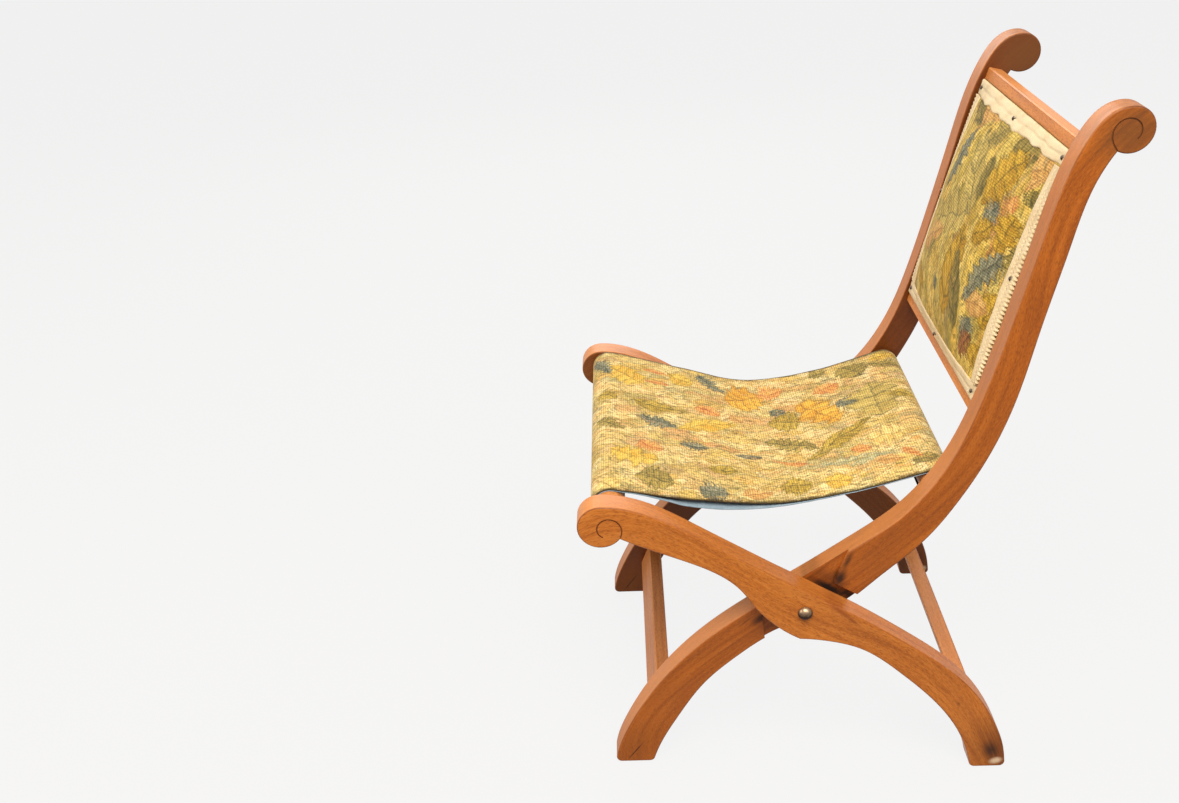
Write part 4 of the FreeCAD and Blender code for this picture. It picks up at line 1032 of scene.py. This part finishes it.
@dataclass
class Hardware:
    """Pivot bolts with their washers and nuts, and the upholstery tacks."""

    nodes: dict[str, bpy.types.Object]
    bolt_finish: BronzedSteel = field(default_factory=BronzedSteel)
    tack_finish: BronzedSteel = field(default_factory=lambda: BronzedSteel(
        "blued_tack_steel", "#6a5a4c", "#221a16", 1.6, 0.38))

    def dress(self) -> None:
        """Gives the metal pieces their finishes."""
        steel = self.bolt_finish.material()
        dull = self.tack_finish.material()
        for side in ("left", "right"):
            for piece in ("pivot_bolt", "pivot_washer", "pivot_nut"):
                dress_node(self.nodes[f"{piece}_{side}"], steel)
        for name in ("back_tacks", "lining_tacks", "front_rail_tacks", "rear_rail_tacks"):
            dress_node(self.nodes[name], dull)


SEAT_LEAVES = (
    Leaf(Motif.BROAD, (-127, 116), (62, 62), -129, GOLD),
    Leaf(Motif.LANCE, (-152, 158), (34, 13), 70, CORAL),
    Leaf(Motif.LANCE, (-118, 159), (35, 11), 72, CORAL),
    Leaf(Motif.BROAD, (-141, 194), (40, 38), 51, GOLD),
    Leaf(Motif.FROND, (-143, 237), (55, 36), -147, SLATE),
    Leaf(Motif.BROAD, (-105, 283), (57, 84), -72, AMBER),
    Leaf(Motif.FROND, (-121, 319), (38, 58), 89, CORAL),
    Leaf(Motif.BROAD, (-29, 332), (49, 58), -95, OLIVE),
    Leaf(Motif.LANCE, (-59, 321), (29, 20), 47, SLATE),
    Leaf(Motif.OAK, (-42, 380), (88, 66), 37, AMBER),
    Leaf(Motif.BROAD, (-101, 398), (47, 34), 123, CORAL),
    Leaf(Motif.FROND, (-47, 422), (29, 46), 81, SLATE),
    Leaf(Motif.BROAD, (-134, 440), (54, 48), -154, MOSS),
    Leaf(Motif.FROND, (-131, 483), (53, 28), 69, MOSS),
    Leaf(Motif.OAK, (-40, 456), (98, 84), -177, SAGE),
    Leaf(Motif.FROND, (2, 155), (65, 34), -108, SLATE),
    Leaf(Motif.LANCE, (-45, 155), (58, 34), 82, OLIVE),
    Leaf(Motif.BROAD, (-56, 228), (37, 27), 77, CORAL),
    Leaf(Motif.FROND, (51, 203), (42, 28), 94, SLATE),
    Leaf(Motif.FROND, (35, 330), (77, 36), -118, MOSS),
    Leaf(Motif.LANCE, (-9, 223), (91, 34), 117, GOLD),
    Leaf(Motif.BROAD, (78, 414), (31, 24), 78, CORAL),
    Leaf(Motif.FROND, (101, 403), (106, 26), 84, MIST),
    Leaf(Motif.OAK, (102, 122), (66, 66), -104, GOLD),
    Leaf(Motif.FROND, (71, 145), (38, 30), 66, CORAL),
    Leaf(Motif.BROAD, (151, 147), (47, 58), -100, MOSS),
    Leaf(Motif.FROND, (161, 218), (37, 60), 99, SLATE),
    Leaf(Motif.BROAD, (137, 325), (42, 46), 86, OLIVE),
    Leaf(Motif.LANCE, (138, 487), (34, 28), 97, MOSS),
    Leaf(Motif.LANCE, (141, 376), (36, 34), 93, GOLD),
    Leaf(Motif.FROND, (24, 93), (45, 32), -125, MOSS),
    Leaf(Motif.FROND, (-153, 82), (57, 34), 21, SLATE),
    Leaf(Motif.LANCE, (44, 392), (124, 28), 130, OLIVE),
    Leaf(Motif.BROAD, (-55, 90), (34, 36), -122, OLIVE),
    Leaf(Motif.OAK, (61, 455), (55, 60), 93, STRAW),
    Leaf(Motif.LANCE, (152, 276), (43, 26), 111, PEACH),
    Leaf(Motif.LANCE, (105, 237), (45, 20), 91, OLIVE),
    Leaf(Motif.LANCE, (60, 274), (40, 15), 75, SLATE),
    Leaf(Motif.LANCE, (-156, 488), (44, 26), 94, GOLD),
    Leaf(Motif.BROAD, (-152, 392), (29, 30), 107, MOSS),
    Leaf(Motif.LANCE, (81, 323), (48, 10), 66, CORAL),
    Leaf(Motif.LANCE, (117, 474), (39, 11), 38, CORAL),
    Leaf(Motif.LANCE, (124, 446), (32, 18), 81, PEACH),
    Leaf(Motif.LANCE, (-42, 267), (25, 16), 39, PEACH),
    Leaf(Motif.LANCE, (-35, 492), (46, 20), 72, OLIVE),
    Leaf(Motif.BROAD, (180, 88), (26, 40), -137, STRAW),
)
BACK_LEAVES = (
    Leaf(Motif.LANCE, (-2, 234), (119, 46), 132, SAGE),
    Leaf(Motif.FROND, (-83, 233), (85, 44), 85, SLATE),
    Leaf(Motif.BROAD, (-86, 295), (111, 34), 4, PEACH),
    Leaf(Motif.FROND, (-6, 289), (54, 52), 40, MOSS),
    Leaf(Motif.BROAD, (82, 291), (65, 52), 4, FERN),
    Leaf(Motif.BROAD, (71, 254), (88, 78), 56, MUSTARD),
    Leaf(Motif.LANCE, (131, 293), (38, 50), 59, PEACH),
    Leaf(Motif.LANCE, (29, 240), (54, 26), 99, FERN),
    Leaf(Motif.FROND, (85, 214), (37, 48), 62, SLATE),
    Leaf(Motif.LANCE, (118, 238), (24, 26), 109, CORAL),
    Leaf(Motif.OAK, (-31, 173), (131, 72), -162, SAGE),
    Leaf(Motif.LANCE, (36, 123), (112, 60), 89, MUSTARD),
    Leaf(Motif.LANCE, (62, 109), (101, 30), 114, FERN),
    Leaf(Motif.OAK, (125, 204), (46, 60), 81, MUSTARD),
    Leaf(Motif.FROND, (113, 147), (96, 44), 54, SLATE),
    Leaf(Motif.BROAD, (-81, 129), (101, 42), 30, PEACH),
    Leaf(Motif.FROND, (-62, 119), (36, 28), 49, MOSS),
    Leaf(Motif.LANCE, (-12, 88), (27, 14), 101, SLATE),
    Leaf(Motif.FROND, (110, 80), (35, 38), 68, SLATE),
    Leaf(Motif.FROND, (115, 60), (40, 40), 55, RUST),
    Leaf(Motif.BROAD, (81, 192), (45, 38), 40, MUSTARD),
    Leaf(Motif.LANCE, (146, 119), (49, 42), 68, MUSTARD),
    Leaf(Motif.FROND, (145, 253), (26, 32), 86, FERN),
    Leaf(Motif.LANCE, (120, 114), (44, 28), 3, PEACH),
    Leaf(Motif.OAK, (160, 181), (39, 50), 103, FERN),
    Leaf(Motif.LANCE, (-98, 66), (67, 30), 161, MUSTARD),
    Leaf(Motif.LANCE, (146, 63), (34, 40), 97, MUSTARD),
    Leaf(Motif.LANCE, (136, 274), (33, 16), 63, PEACH),
    Leaf(Motif.LANCE, (-112, 290), (58, 24), 158, FERN),
)


@dataclass
class SlingSeat:
    """Tapestry sling and its lining, wrapped round both seat rails and tacked under them.

    Lengths are in millimetres and angles in degrees. The fields that start with free say where
    the cloth is off the rails, and over how far its ripples fade in. A ripple is its size in
    metres and its height, and widen_at and droop_at are a place along the chair and a reach.
    """

    leaves: tuple[Leaf, ...] = SEAT_LEAVES
    wrap_radius: float = 22.6
    cloth_thickness: float = 2.0
    lining_thickness: float = 1.0
    layer_gap: float = 0.3
    sag: float = 39.0
    sag_shares: tuple[tuple[float, float], ...] = ((0.27, 0.57), (0.5, 1.0), (0.75, 0.68))
    leave_angle: float = 78.0
    arrive_angle: float = 107.0
    tuck_angle: float = 50.0
    rear_half_width: float = 170.5
    front_half_width: float = 196.0
    pivot_y: float = -35.0
    front_reach: float = 272.0
    back_reach: float = 342.0
    taper: tuple[tuple[float, float], ...] = (
        (-1.0, 1.0), (-0.72, 0.85), (-0.46, 0.56), (-0.23, 0.10), (0.0, -0.05), (0.17, -0.08),
        (0.35, -0.03), (0.50, 0.05), (0.80, 0.05))
    station_gap: float = 4.0
    columns: int = 72
    lining_droop: float = 8.0
    lining_show: float = 2.2
    area_share: float = 0.95
    arc_points: int = 90
    span_points: int = 160
    free_front: float = -240.0
    free_rear: float = 95.0
    free_fade: float = 60.0
    free_top: float = 414.0
    edge_ripple: tuple[float, float] = (0.045, 0.9)
    broad_ripple: tuple[float, float] = (0.055, 1.3)
    small_ripple: tuple[float, float] = (0.020, 0.35)
    edge_band: float = 16.0
    edge_drop: float = 1.6
    widen_at: tuple[float, float] = (-105.0, 90.0)
    droop_at: tuple[float, float] = (-145.0, 75.0)

    def path(self) -> np.ndarray:
        """Outer line of the cloth from tuck to tuck.

        Returns:
            Rows of y and z in millimetres, evenly spaced along the cloth.
        """
        centres = []
        for rail in ("seat_front_rail", "seat_rear_rail"):
            low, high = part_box(rail)
            centres.append(np.array([(low.y + high.y) / 2, (low.z + high.z) / 2]) / MM)
        ends = ((self.tuck_angle - 90, self.leave_angle - 360),
                (self.arrive_angle, -90 - self.tuck_angle))
        turns = [np.radians(np.linspace(*pair, self.arc_points)) for pair in ends]
        arcs = [c + self.wrap_radius * np.stack([np.cos(a), np.sin(a)], -1)
                for c, a in zip(centres, turns)]
        leave, arrive = arcs[0][-1], arcs[1][0]
        shares = np.array([(0.0, 0.0), *self.sag_shares, (1.0, 0.0)])
        guide = leave + (arrive - leave) * shares[:, :1] - np.array([0.0, 1.0]) * (
            shares[:, 1:] * self.sag)
        run = np.linspace(guide[0, 0], guide[-1, 0], self.span_points)
        fall = smooth_curve(guide[:, 0], guide[:, 1], run,
                            math.tan(math.radians(self.leave_angle - 90)),
                            math.tan(math.radians(self.arrive_angle - 90)))
        line = np.concatenate([arcs[0][:-1], np.stack([run, fall], -1), arcs[1][1:]])
        length = np.concatenate([[0.0], np.cumsum(np.linalg.norm(np.diff(line, axis=0), axis=1))])
        at = np.linspace(0.0, length[-1], int(length[-1] / self.station_gap) + 1)
        return np.stack([np.interp(at, length, line[:, k]) for k in (0, 1)], -1)

    def half_width(self, y: np.ndarray) -> np.ndarray:
        """Finds the half width of the cloth at places along the chair.

        Args:
            y: Places in millimetres, front to rear.

        Returns:
            Half widths in millimetres.
        """
        shares = np.array(self.taper)
        reach = np.where(shares[:, 0] < 0, self.front_reach, self.back_reach)
        places = self.pivot_y + shares[:, 0] * reach
        half = self.rear_half_width + shares[:, 1] * (self.front_half_width - self.rear_half_width)
        return smooth_curve(places, half, y)

    def grid(self, line: np.ndarray, below: float, widen: float,
             droop: float) -> tuple[np.ndarray, np.ndarray]:
        """Grid of points at a depth under the sling's outer line.

        Args:
            line: The outer line.
            below: Depth under it in millimetres.
            widen: How far the edge stands beyond the cloth's, in millimetres.
            droop: How far the edge hangs away in the middle of its run.

        Returns:
            Points in metres and their flat coordinates in metres.
        """
        ahead = np.gradient(line, axis=0)
        ahead /= np.linalg.norm(ahead, axis=1, keepdims=True)
        normal = np.stack([-ahead[:, 1], ahead[:, 0]], -1)
        share = np.sin(np.linspace(-1, 1, self.columns) * math.pi / 2)
        share = 0.5 * share + 0.5 * np.linspace(-1, 1, self.columns)
        run = np.arange(len(line)) * self.station_gap
        half = self.half_width(line[:, 0])
        on_span = (np.clip((line[:, 0] - self.free_front) / self.free_fade, 0, 1)
                   * np.clip((self.free_rear - line[:, 0]) / self.free_fade, 0, 1))
        on_top = on_span * (line[:, 1] < self.free_top) * (normal[:, 1] > 0.5)
        size, high = self.edge_ripple
        edge_wave = ripple(np.stack([run, run * 0], -1) * MM, size) * high * on_top
        place, reach = self.widen_at
        half = half + widen * np.exp(-((line[:, 0] - place) / reach) ** 2)
        x = share[None, :] * (half + edge_wave)[:, None]
        spot = np.stack([x, np.repeat(run[:, None], self.columns, 1)], -1) * MM
        (broad, broad_high), (small, small_high) = self.broad_ripple, self.small_ripple
        lift = (ripple(spot * np.array([1.0, 0.45]), broad) * broad_high
                + ripple(spot, small, 7.3) * small_high) * on_top[:, None]
        near_edge = np.exp(-((half[:, None] - np.abs(x)) / self.edge_band) ** 2)
        lift = lift - self.edge_drop * near_edge * on_top[:, None]
        place, reach = self.droop_at
        bell = np.exp(-((line[:, 0] - place) / reach) ** 2) * on_top
        lift = lift - droop * near_edge * bell[:, None]
        side = line[:, None, :] + normal[:, None, :] * (lift - below)[..., None]
        points = np.concatenate([x[..., None], side], -1) * MM
        return points, spot

    def layer(self, name: str, below: float, thickness: float, widen: float, droop: float,
              material: bpy.types.Material) -> bpy.types.Object:
        """Makes one layer of the sling.

        Args:
            name: Name of the piece.
            below: Depth of its upper face under the sling's outer line.
            thickness: Its thickness.
            widen: How far its edge stands beyond the cloth's.
            droop: How far its edge hangs away.
            material: Its finish.

        Returns:
            The piece.
        """
        line = self.path()
        top, flat = self.grid(line, below, widen, droop)
        bottom, _ = self.grid(line, below + thickness, widen, droop)
        return closed_sheet(name, top, bottom, flat, material)

    def build(self) -> None:
        """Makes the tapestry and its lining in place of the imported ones."""
        finish = VerdureTapestry("seat_tapestry", self.leaves)
        cloth = self.layer("seat_sling_tapestry", 0.0, self.cloth_thickness, 0.0, 0.0,
                           finish.material())
        blue = PlainWeave("blue_cotton_lining", "#90a3ad", "#aebcc3", "#6c7d87")
        below = self.cloth_thickness + self.layer_gap
        lining = self.layer("seat_sling_lining", below, self.lining_thickness,
                            self.lining_show, self.lining_droop, blue.material())
        length = (len(self.path()) - 1) * self.station_gap * MM
        for piece, node, slot in ((cloth, "seat_cloth", "tapestry"),
                                  (lining, "seat_lining", "lining")):
            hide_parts(node)
            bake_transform(piece)


@dataclass
class BackPanel:
    """Crowned tapestry back with its braid, pad, straps and lining, on the leaning frame.

    Lengths are in millimetres and the lean in degrees. opening is the half width, the foot and
    the head of the gap between the rails. Puffs and puckers are ripples: a size in metres, a
    shift and a height.
    """

    leaves: tuple[Leaf, ...] = BACK_LEAVES
    foot: tuple[float, float] = (158.0, 487.0)
    lean: float = 14.5
    length: float = 335.0
    thickness: float = 19.0
    half_width: float = 175.5
    cloth_half: float = 171.5
    end_margin: float = 15.0
    opening: tuple[float, float, float] = (151.0, 48.0, 276.0)
    crown: float = 33.0
    crown_power: float = 2.7
    cloth_thickness: float = 2.0
    soft_gap: float = 0.3
    braid_width: float = 20.0
    braid_thickness: float = 1.6
    braid_step: float = 0.65
    braid_wave: float = 0.022
    braid_bump: tuple[float, float] = (0.009, 0.12)
    braid_curl: float = 3.0
    curl_places: tuple[float, ...] = (155.0, 162.0, 171.5)
    curl_shares: tuple[float, ...] = (0.0, 0.4, 1.0)
    tooth_pitch: float = 5.2
    puff_fade: float = 12.0
    puffs: tuple[tuple[float, float, float], ...] = ((0.06, 3.1, 1.2), (0.022, 5.7, 0.3))
    pad_inset: float = 24.0
    pad_under: float = 1.6
    pad_rear: float = 3.2
    lining_margin: float = 9.0
    lining_thickness: float = 1.0
    lining_gap: float = 0.05
    hollow: float = 1.4
    hollow_fade: float = 35.0
    puckers: tuple[tuple[float, float, float], ...] = ((0.09, 2.2, 1.6), (0.03, 4.4, 0.5))
    strap_width: float = 46.0
    strap_thickness: float = 1.3
    strap_gap: float = 0.15
    strap_inset: float = 12.0
    strap_margin: float = 24.0
    tack_spots: tuple[tuple[float, float], ...] = (
        (-161.5, 25.0), (0.0, 25.0), (161.5, 25.0), (-161.5, 167.5), (161.5, 167.5),
        (-161.5, 310.0), (0.0, 310.0), (161.5, 310.0))

    def point(self, x: np.ndarray, up: np.ndarray, back: np.ndarray) -> np.ndarray:
        """Points of the leaning back in metres.

        Args:
            x: Place across in millimetres.
            up: Place up from the panel's foot.
            back: Depth behind its front plane.

        Returns:
            Points, one for each place.
        """
        lean = math.radians(self.lean)
        y = self.foot[0] + up * math.sin(lean) + back * math.cos(lean)
        z = self.foot[1] + up * math.cos(lean) - back * math.sin(lean)
        return np.stack(np.broadcast_arrays(x, y, z), -1) * MM

    def crown_at(self, x: np.ndarray, up: np.ndarray) -> np.ndarray:
        """Finds how far the padded back stands forward.

        Args:
            x: Places across in millimetres.
            up: Places up from the panel's foot.

        Returns:
            The crown in millimetres at each place.
        """
        high = self.length - self.end_margin
        across = np.clip(np.abs(x) / self.cloth_half, 0, 1)
        share = np.clip(np.abs(2 * up - self.end_margin - high) / (high - self.end_margin), 0, 1)
        return self.crown * (1 - across ** self.crown_power) * (1 - share ** self.crown_power)

    def cloth(self, material: bpy.types.Material) -> bpy.types.Object:
        """Makes the crowned tapestry.

        Args:
            material: Its finish.

        Returns:
            The piece.
        """
        x, up = np.meshgrid(np.linspace(-self.cloth_half, self.cloth_half, 70),
                            np.linspace(self.end_margin, self.length - self.end_margin, 64))
        crown = self.crown_at(x, up)
        spot = np.stack([x, up], -1) * MM
        full = np.clip(crown / self.puff_fade, 0, 1)
        uneven = sum(ripple(spot, size, shift) * high * full for size, shift, high in self.puffs)
        front = self.point(x, up, -crown - uneven - self.soft_gap / 2 - self.cloth_thickness)
        rear = self.point(x, up, -crown - uneven - self.soft_gap / 2)
        return closed_sheet("back_tapestry", front[:, ::-1], rear[:, ::-1], spot[:, ::-1], material)

    def pad(self, material: bpy.types.Material) -> bpy.types.Object:
        """Makes the pad under the tapestry.

        Args:
            material: Its finish.

        Returns:
            The piece.
        """
        inset = self.pad_inset
        low, high = self.end_margin + inset, self.length - self.end_margin - inset
        half = self.cloth_half - inset
        x, up = np.meshgrid(np.linspace(-half, half, 40), np.linspace(low, high, 36))
        crown = self.crown_at(x, up) - self.pad_under
        spot = np.stack([x, up], -1) * MM
        front = self.point(x, up, -crown)
        rear = self.point(x, up, np.full_like(x, -self.pad_rear))
        return closed_sheet("back_pad", front[:, ::-1], rear[:, ::-1], spot[:, ::-1], material)

    def braid(self, name: str, x_span: tuple[float, float], up_span: tuple[float, float],
              edges: tuple[tuple[float, float], ...],
              material: bpy.types.Material) -> bpy.types.Object:
        """Makes one braid strip.

        Args:
            name: Name of the piece.
            x_span: Its reach across.
            up_span: Its reach up.
            edges: Waviness and depth of teeth in millimetres, of its lower or right edge and
                then of its other edge.
            material: Its finish.

        Returns:
            The piece.
        """
        lies_across = x_span[1] - x_span[0] > up_span[1] - up_span[0]
        spans = (x_span, up_span) if lies_across else (up_span, x_span)
        count = int((spans[0][1] - spans[0][0]) / self.braid_step)
        run = np.linspace(spans[0][0], spans[0][1], count)
        share = np.array([0.0, 0.04, 0.14, 0.30, 0.44, 0.5, 0.56, 0.70, 0.86, 0.96, 1.0])
        rise = np.array([0.15, 0.80, 1.0, 0.95, 0.90, 0.35, 0.90, 0.95, 1.0, 0.80, 0.15])
        seed = sum(ord(c) for c in name) * 0.37
        line = np.stack([run, run * 0], -1) * MM
        waves = [ripple(line, self.braid_wave, seed + k) * wave
                 + (0.5 + 0.5 * np.cos(run * 2 * math.pi / self.tooth_pitch)) * tooth
                 for k, (wave, tooth) in enumerate(edges)]
        low_side = spans[1][0] + waves[0]
        high_side = spans[1][1] - waves[1]
        wide = low_side[:, None] + (high_side - low_side)[:, None] * share[None, :]
        long = np.repeat(run[:, None], len(share), 1)
        x, up = (long, wide) if lies_across else (wide, long)
        crown = self.crown_at(x, up) + self.soft_gap + self.cloth_thickness
        size, high = self.braid_bump
        bumps = 1 + high * ripple(np.stack([x, up], -1) * MM, size, seed)
        curl = self.braid_curl * np.interp(np.abs(x), self.curl_places, self.curl_shares)
        if lies_across:
            curl = curl * 0
        outer = self.point(x, up, -crown - (self.braid_thickness * bumps + curl) * rise[None, :])
        inner = self.point(x, up, -crown + 0.05)
        spot = np.stack([x, up], -1) * MM
        if lies_across:
            outer, inner, spot = outer[::-1], inner[::-1], spot[::-1]
        return closed_sheet(name, outer, inner, spot, material)

    def lining(self, material: bpy.types.Material) -> bpy.types.Object:
        """Makes the lining behind the back, puckered a little between its tacks.

        Args:
            material: Its finish.

        Returns:
            The piece.
        """
        margin = self.lining_margin
        half = self.half_width - margin
        x, up = np.meshgrid(np.linspace(-half, half, 90),
                            np.linspace(margin, self.length - margin, 84))
        side, low, high = self.opening
        rim = np.minimum(side - np.abs(x), np.minimum(up - low, high - up))
        loose = np.clip(rim / self.hollow_fade, 0, 1)
        spot = np.stack([x, up], -1) * MM
        hollow = loose * sum(
            (ripple(spot, size, shift) * deep for size, shift, deep in self.puckers), self.hollow)
        back = self.thickness + self.lining_gap - hollow
        rear = self.point(x, up, back + self.lining_thickness)
        front = self.point(x, up, back)
        return closed_sheet("back_rear_lining", rear, front, spot, material)

    def straps(self, material: bpy.types.Material) -> list[bpy.types.Object]:
        """Makes the woven straps inside the back.

        Args:
            material: Its finish.

        Returns:
            The pieces.
        """
        made = []
        wide, thick, gap = self.strap_width, self.strap_thickness, self.strap_gap
        half = self.half_width - self.strap_inset
        low, high = self.strap_margin, self.length - self.strap_margin
        for i in (-1, 0, 1):
            x = i * (half - self.strap_margin) * 2 / 3
            up = (low + high) / 2 + i * (high - low) / 4
            for kind, xs, ups, back in (
                    ("up", (x - wide / 2, x + wide / 2), (low, high), -gap),
                    ("across", (-half, half), (up - wide / 2, up + wide / 2), -thick - 2 * gap)):
                gx, gu = np.meshgrid(np.linspace(*xs, 12), np.linspace(*ups, 12))
                spot = np.stack([gx, gu], -1) * MM
                front = self.point(gx, gu, np.full_like(gx, back - thick))
                rear = self.point(gx, gu, np.full_like(gx, back))
                made.append(closed_sheet(f"back_strap_{kind}_{i + 2}", front[:, ::-1],
                                         rear[:, ::-1], spot[:, ::-1], material))
        return made

    def build(self) -> None:
        """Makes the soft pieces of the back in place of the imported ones."""
        tapestry = VerdureTapestry(
            "back_tapestry_wool", self.leaves, ground="#ecc662", ground_light="#fbdc80",
            ground_dark="#b8943e", strokes=("#c48c44", "#84723a", "#666446", "#ae8638"),
            crowd=("#f0c04c", "#ceb04c", "#fad476", "#a89846", "#e8b04e", "#f8d062", "#8a8a5c",
                   "#cc8248"),
            crowd_line="#4a4828", crowd_size=(20.0, 58.0), crowd_turn=-8.0, crowd_lines=0.7,
            pen_size=(16.0, 70.0))
        cotton = PlainWeave("cream_cotton_braid", "#ead0a2", "#f4dfba", "#c6a270", twill=45.0)
        blue = PlainWeave("back_cotton_lining", "#5f7480", "#7b8f99", "#46565f")
        jute = PlainWeave("jute_webbing", "#a78a5d", "#c2a678", "#80673f", thread=2.4)
        wadding = PlainWeave("cotton_wadding", "#d9d0bd", "#e6dfd0", "#bdb29c")
        cloth = self.cloth(tapestry.material())
        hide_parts("back_cloth")
        pad = self.pad(wadding.material())
        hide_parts("back_padding")
        pieces = [cloth, pad]
        woven = cotton.material()
        low, high = self.end_margin, self.length - self.end_margin
        half, band = self.cloth_half, self.braid_width
        inner_low, inner_high = low + band + self.soft_gap, high - band - self.soft_gap
        strips = (
            ("bottom", (-half, half), (low, low + band), ((0.4, 0.6), (1.2, 0.8))),
            ("top", (-half, half), (high - band, high), ((5.0, 0.8), (0.4, 0.4))),
            ("left", (half - band, half), (inner_low, inner_high), ((1.2, 0.4), (0.3, 4.6))),
            ("right", (-half, -half + band), (inner_low, inner_high), ((0.3, 4.6), (1.2, 0.4))),
        )
        for side, xs, ups, edges in strips:
            strip = self.braid(f"back_braid_{side}", xs, ups, edges, woven)
            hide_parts(f"braid_{side}")
            pieces.append(strip)
        lining = self.lining(blue.material())
        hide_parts("back_lining")
        pieces.append(lining)
        straps = self.straps(jute.material())
        for strap in straps:
            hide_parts("back_webbing")
        for piece in pieces + straps:
            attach(piece, "back_frame")


def white_rays(tree: bpy.types.NodeTree) -> bpy.types.NodeSocket:
    """Finds the rays that see the background as white.

    Args:
        tree: Node tree of the world or the floor.

    Returns:
        1 for what the camera sees straight on, in gloss and through glass, and 0 for the light.
    """
    rays = add_node(tree, "LightPath").node.outputs
    seen = add_node(tree, "Math", {0: rays["Is Camera Ray"], 1: rays["Is Glossy Ray"]},
                    operation="MAXIMUM")
    return add_node(tree, "Math", {0: seen, 1: rays["Is Transmission Ray"]}, operation="MAXIMUM")


@dataclass
class Studio:
    """Pale floor, soft daylight and the camera at the photograph's place.

    Places are in metres, turns in degrees and the lens in millimetres. A lamp is its name,
    place, side, power in watts and colour.
    """

    camera_place: tuple[float, float, float] = (1.4863, -0.2427, 1.1887)
    camera_turn: tuple[float, float, float] = (63.0478, 2.5241, 90.6280)
    lens: float = 38.51
    sensor: float = 36.0
    sky: float = 0.16
    floor_colour: str = "#938e88"
    floor_reach: float = 12.0
    floor_white: float = 0.86
    aim: tuple[float, float, float] = (0.0, 0.0, 0.4)
    lamps: tuple[tuple[str, tuple[float, float, float], float, float, str], ...] = (
        ("key", (1.7, -0.4, 2.8), 1.6, 92.0, "#fffaf2"),
        ("fill", (1.9, 1.1, 2.5), 2.0, 42.0, "#fafbff"),
        ("front", (0.5, -2.7, 1.1), 1.8, 35.0, "#ffffff"),
        ("rim", (-2.6, -0.3, 1.9), 2.0, 36.0, "#ffffff"),
        ("rear", (-1.4, 2.6, 2.4), 2.0, 22.0, "#ffffff"),
    )

    def build(self) -> None:
        """Makes the camera, the world, the floor and the lamps."""
        camera = bpy.data.cameras.new("camera")
        camera.lens = self.lens
        camera.sensor_width = self.sensor
        camera.sensor_fit = "HORIZONTAL"
        camera.clip_end = 50.0
        seen = bpy.data.objects.new("camera", camera)
        seen.location = self.camera_place
        seen.rotation_euler = [math.radians(a) for a in self.camera_turn]
        bpy.context.scene.collection.objects.link(seen)
        bpy.context.scene.camera = seen
        bpy.context.scene.view_settings.view_transform = "Standard"
        self.world()
        self.floor()
        for lamp in self.lamps:
            self.lamp(*lamp)

    def world(self) -> None:
        """Lights all round softly, and looks white to the camera and in gloss and glass."""
        world = bpy.data.worlds.new("studio")
        bpy.context.scene.world = world
        world.use_nodes = True
        tree = world.node_tree
        tree.nodes.clear()
        plain = white_rays(tree)
        bright = add_node(tree, "Mix", {0: plain, "A": self.sky, "B": 1.0}, data_type="FLOAT")
        light = add_node(tree, "Background", {"Color": "#ffffff", "Strength": bright})
        out = tree.nodes.new("ShaderNodeOutputWorld")
        tree.links.new(light, out.inputs["Surface"])

    def floor(self) -> None:
        """Makes a large plain floor that keeps the chair's shadow and is white elsewhere."""
        mesh = bpy.data.meshes.new("floor")
        reach = self.floor_reach
        mesh.from_pydata([(-reach, -reach, 0), (reach, -reach, 0), (reach, reach, 0),
                          (-reach, reach, 0)], [], [(0, 1, 2, 3)])
        floor = bpy.data.objects.new("floor", mesh)
        bpy.context.scene.collection.objects.link(floor)
        made, tree, shader = new_surface("pale_floor")
        shader.inputs["Base Color"].default_value = linear(self.floor_colour)
        shader.inputs["Roughness"].default_value = 0.9
        shader.inputs["Specular IOR Level"].default_value = 0.1
        white = add_node(tree, "Emission", {"Color": "#ffffff", "Strength": 1.0})
        plain = white_rays(tree)
        much = add_node(tree, "Math", {0: plain, 1: self.floor_white}, operation="MULTIPLY")
        both = add_node(tree, "MixShader", {0: much, 1: shader.outputs[0], 2: white})
        tree.links.new(both, tree.nodes["Material Output"].inputs["Surface"])
        mesh.materials.append(made)

    def lamp(self, name: str, place: tuple[float, float, float], size: float, power: float,
             colour: str) -> None:
        """Adds a large soft lamp that faces the chair.

        Args:
            name: Name of the lamp.
            place: Where it hangs, in metres.
            size: Side of its square in metres.
            power: Its power in watts.
            colour: Its colour.
        """
        data = bpy.data.lights.new(name, "AREA")
        data.size = size
        data.energy = power
        data.color = linear(colour)[:3]
        lamp = bpy.data.objects.new(name, data)
        lamp.location = place
        aim = Vector(self.aim) - Vector(place)
        lamp.rotation_euler = aim.to_track_quat("-Z", "Y").to_euler()
        bpy.context.scene.collection.objects.link(lamp)


def main() -> None:
    """Builds the chair's looks and its studio."""
    logging.basicConfig(level=logging.INFO, format="%(name)s: %(message)s")
    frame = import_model()
    Studio().build()
    WoodFrame(frame["nodes"]).dress()
    Hardware(frame["nodes"]).dress()
    SlingSeat().build()
    BackPanel().build()


if __name__ == "__main__":
    main()
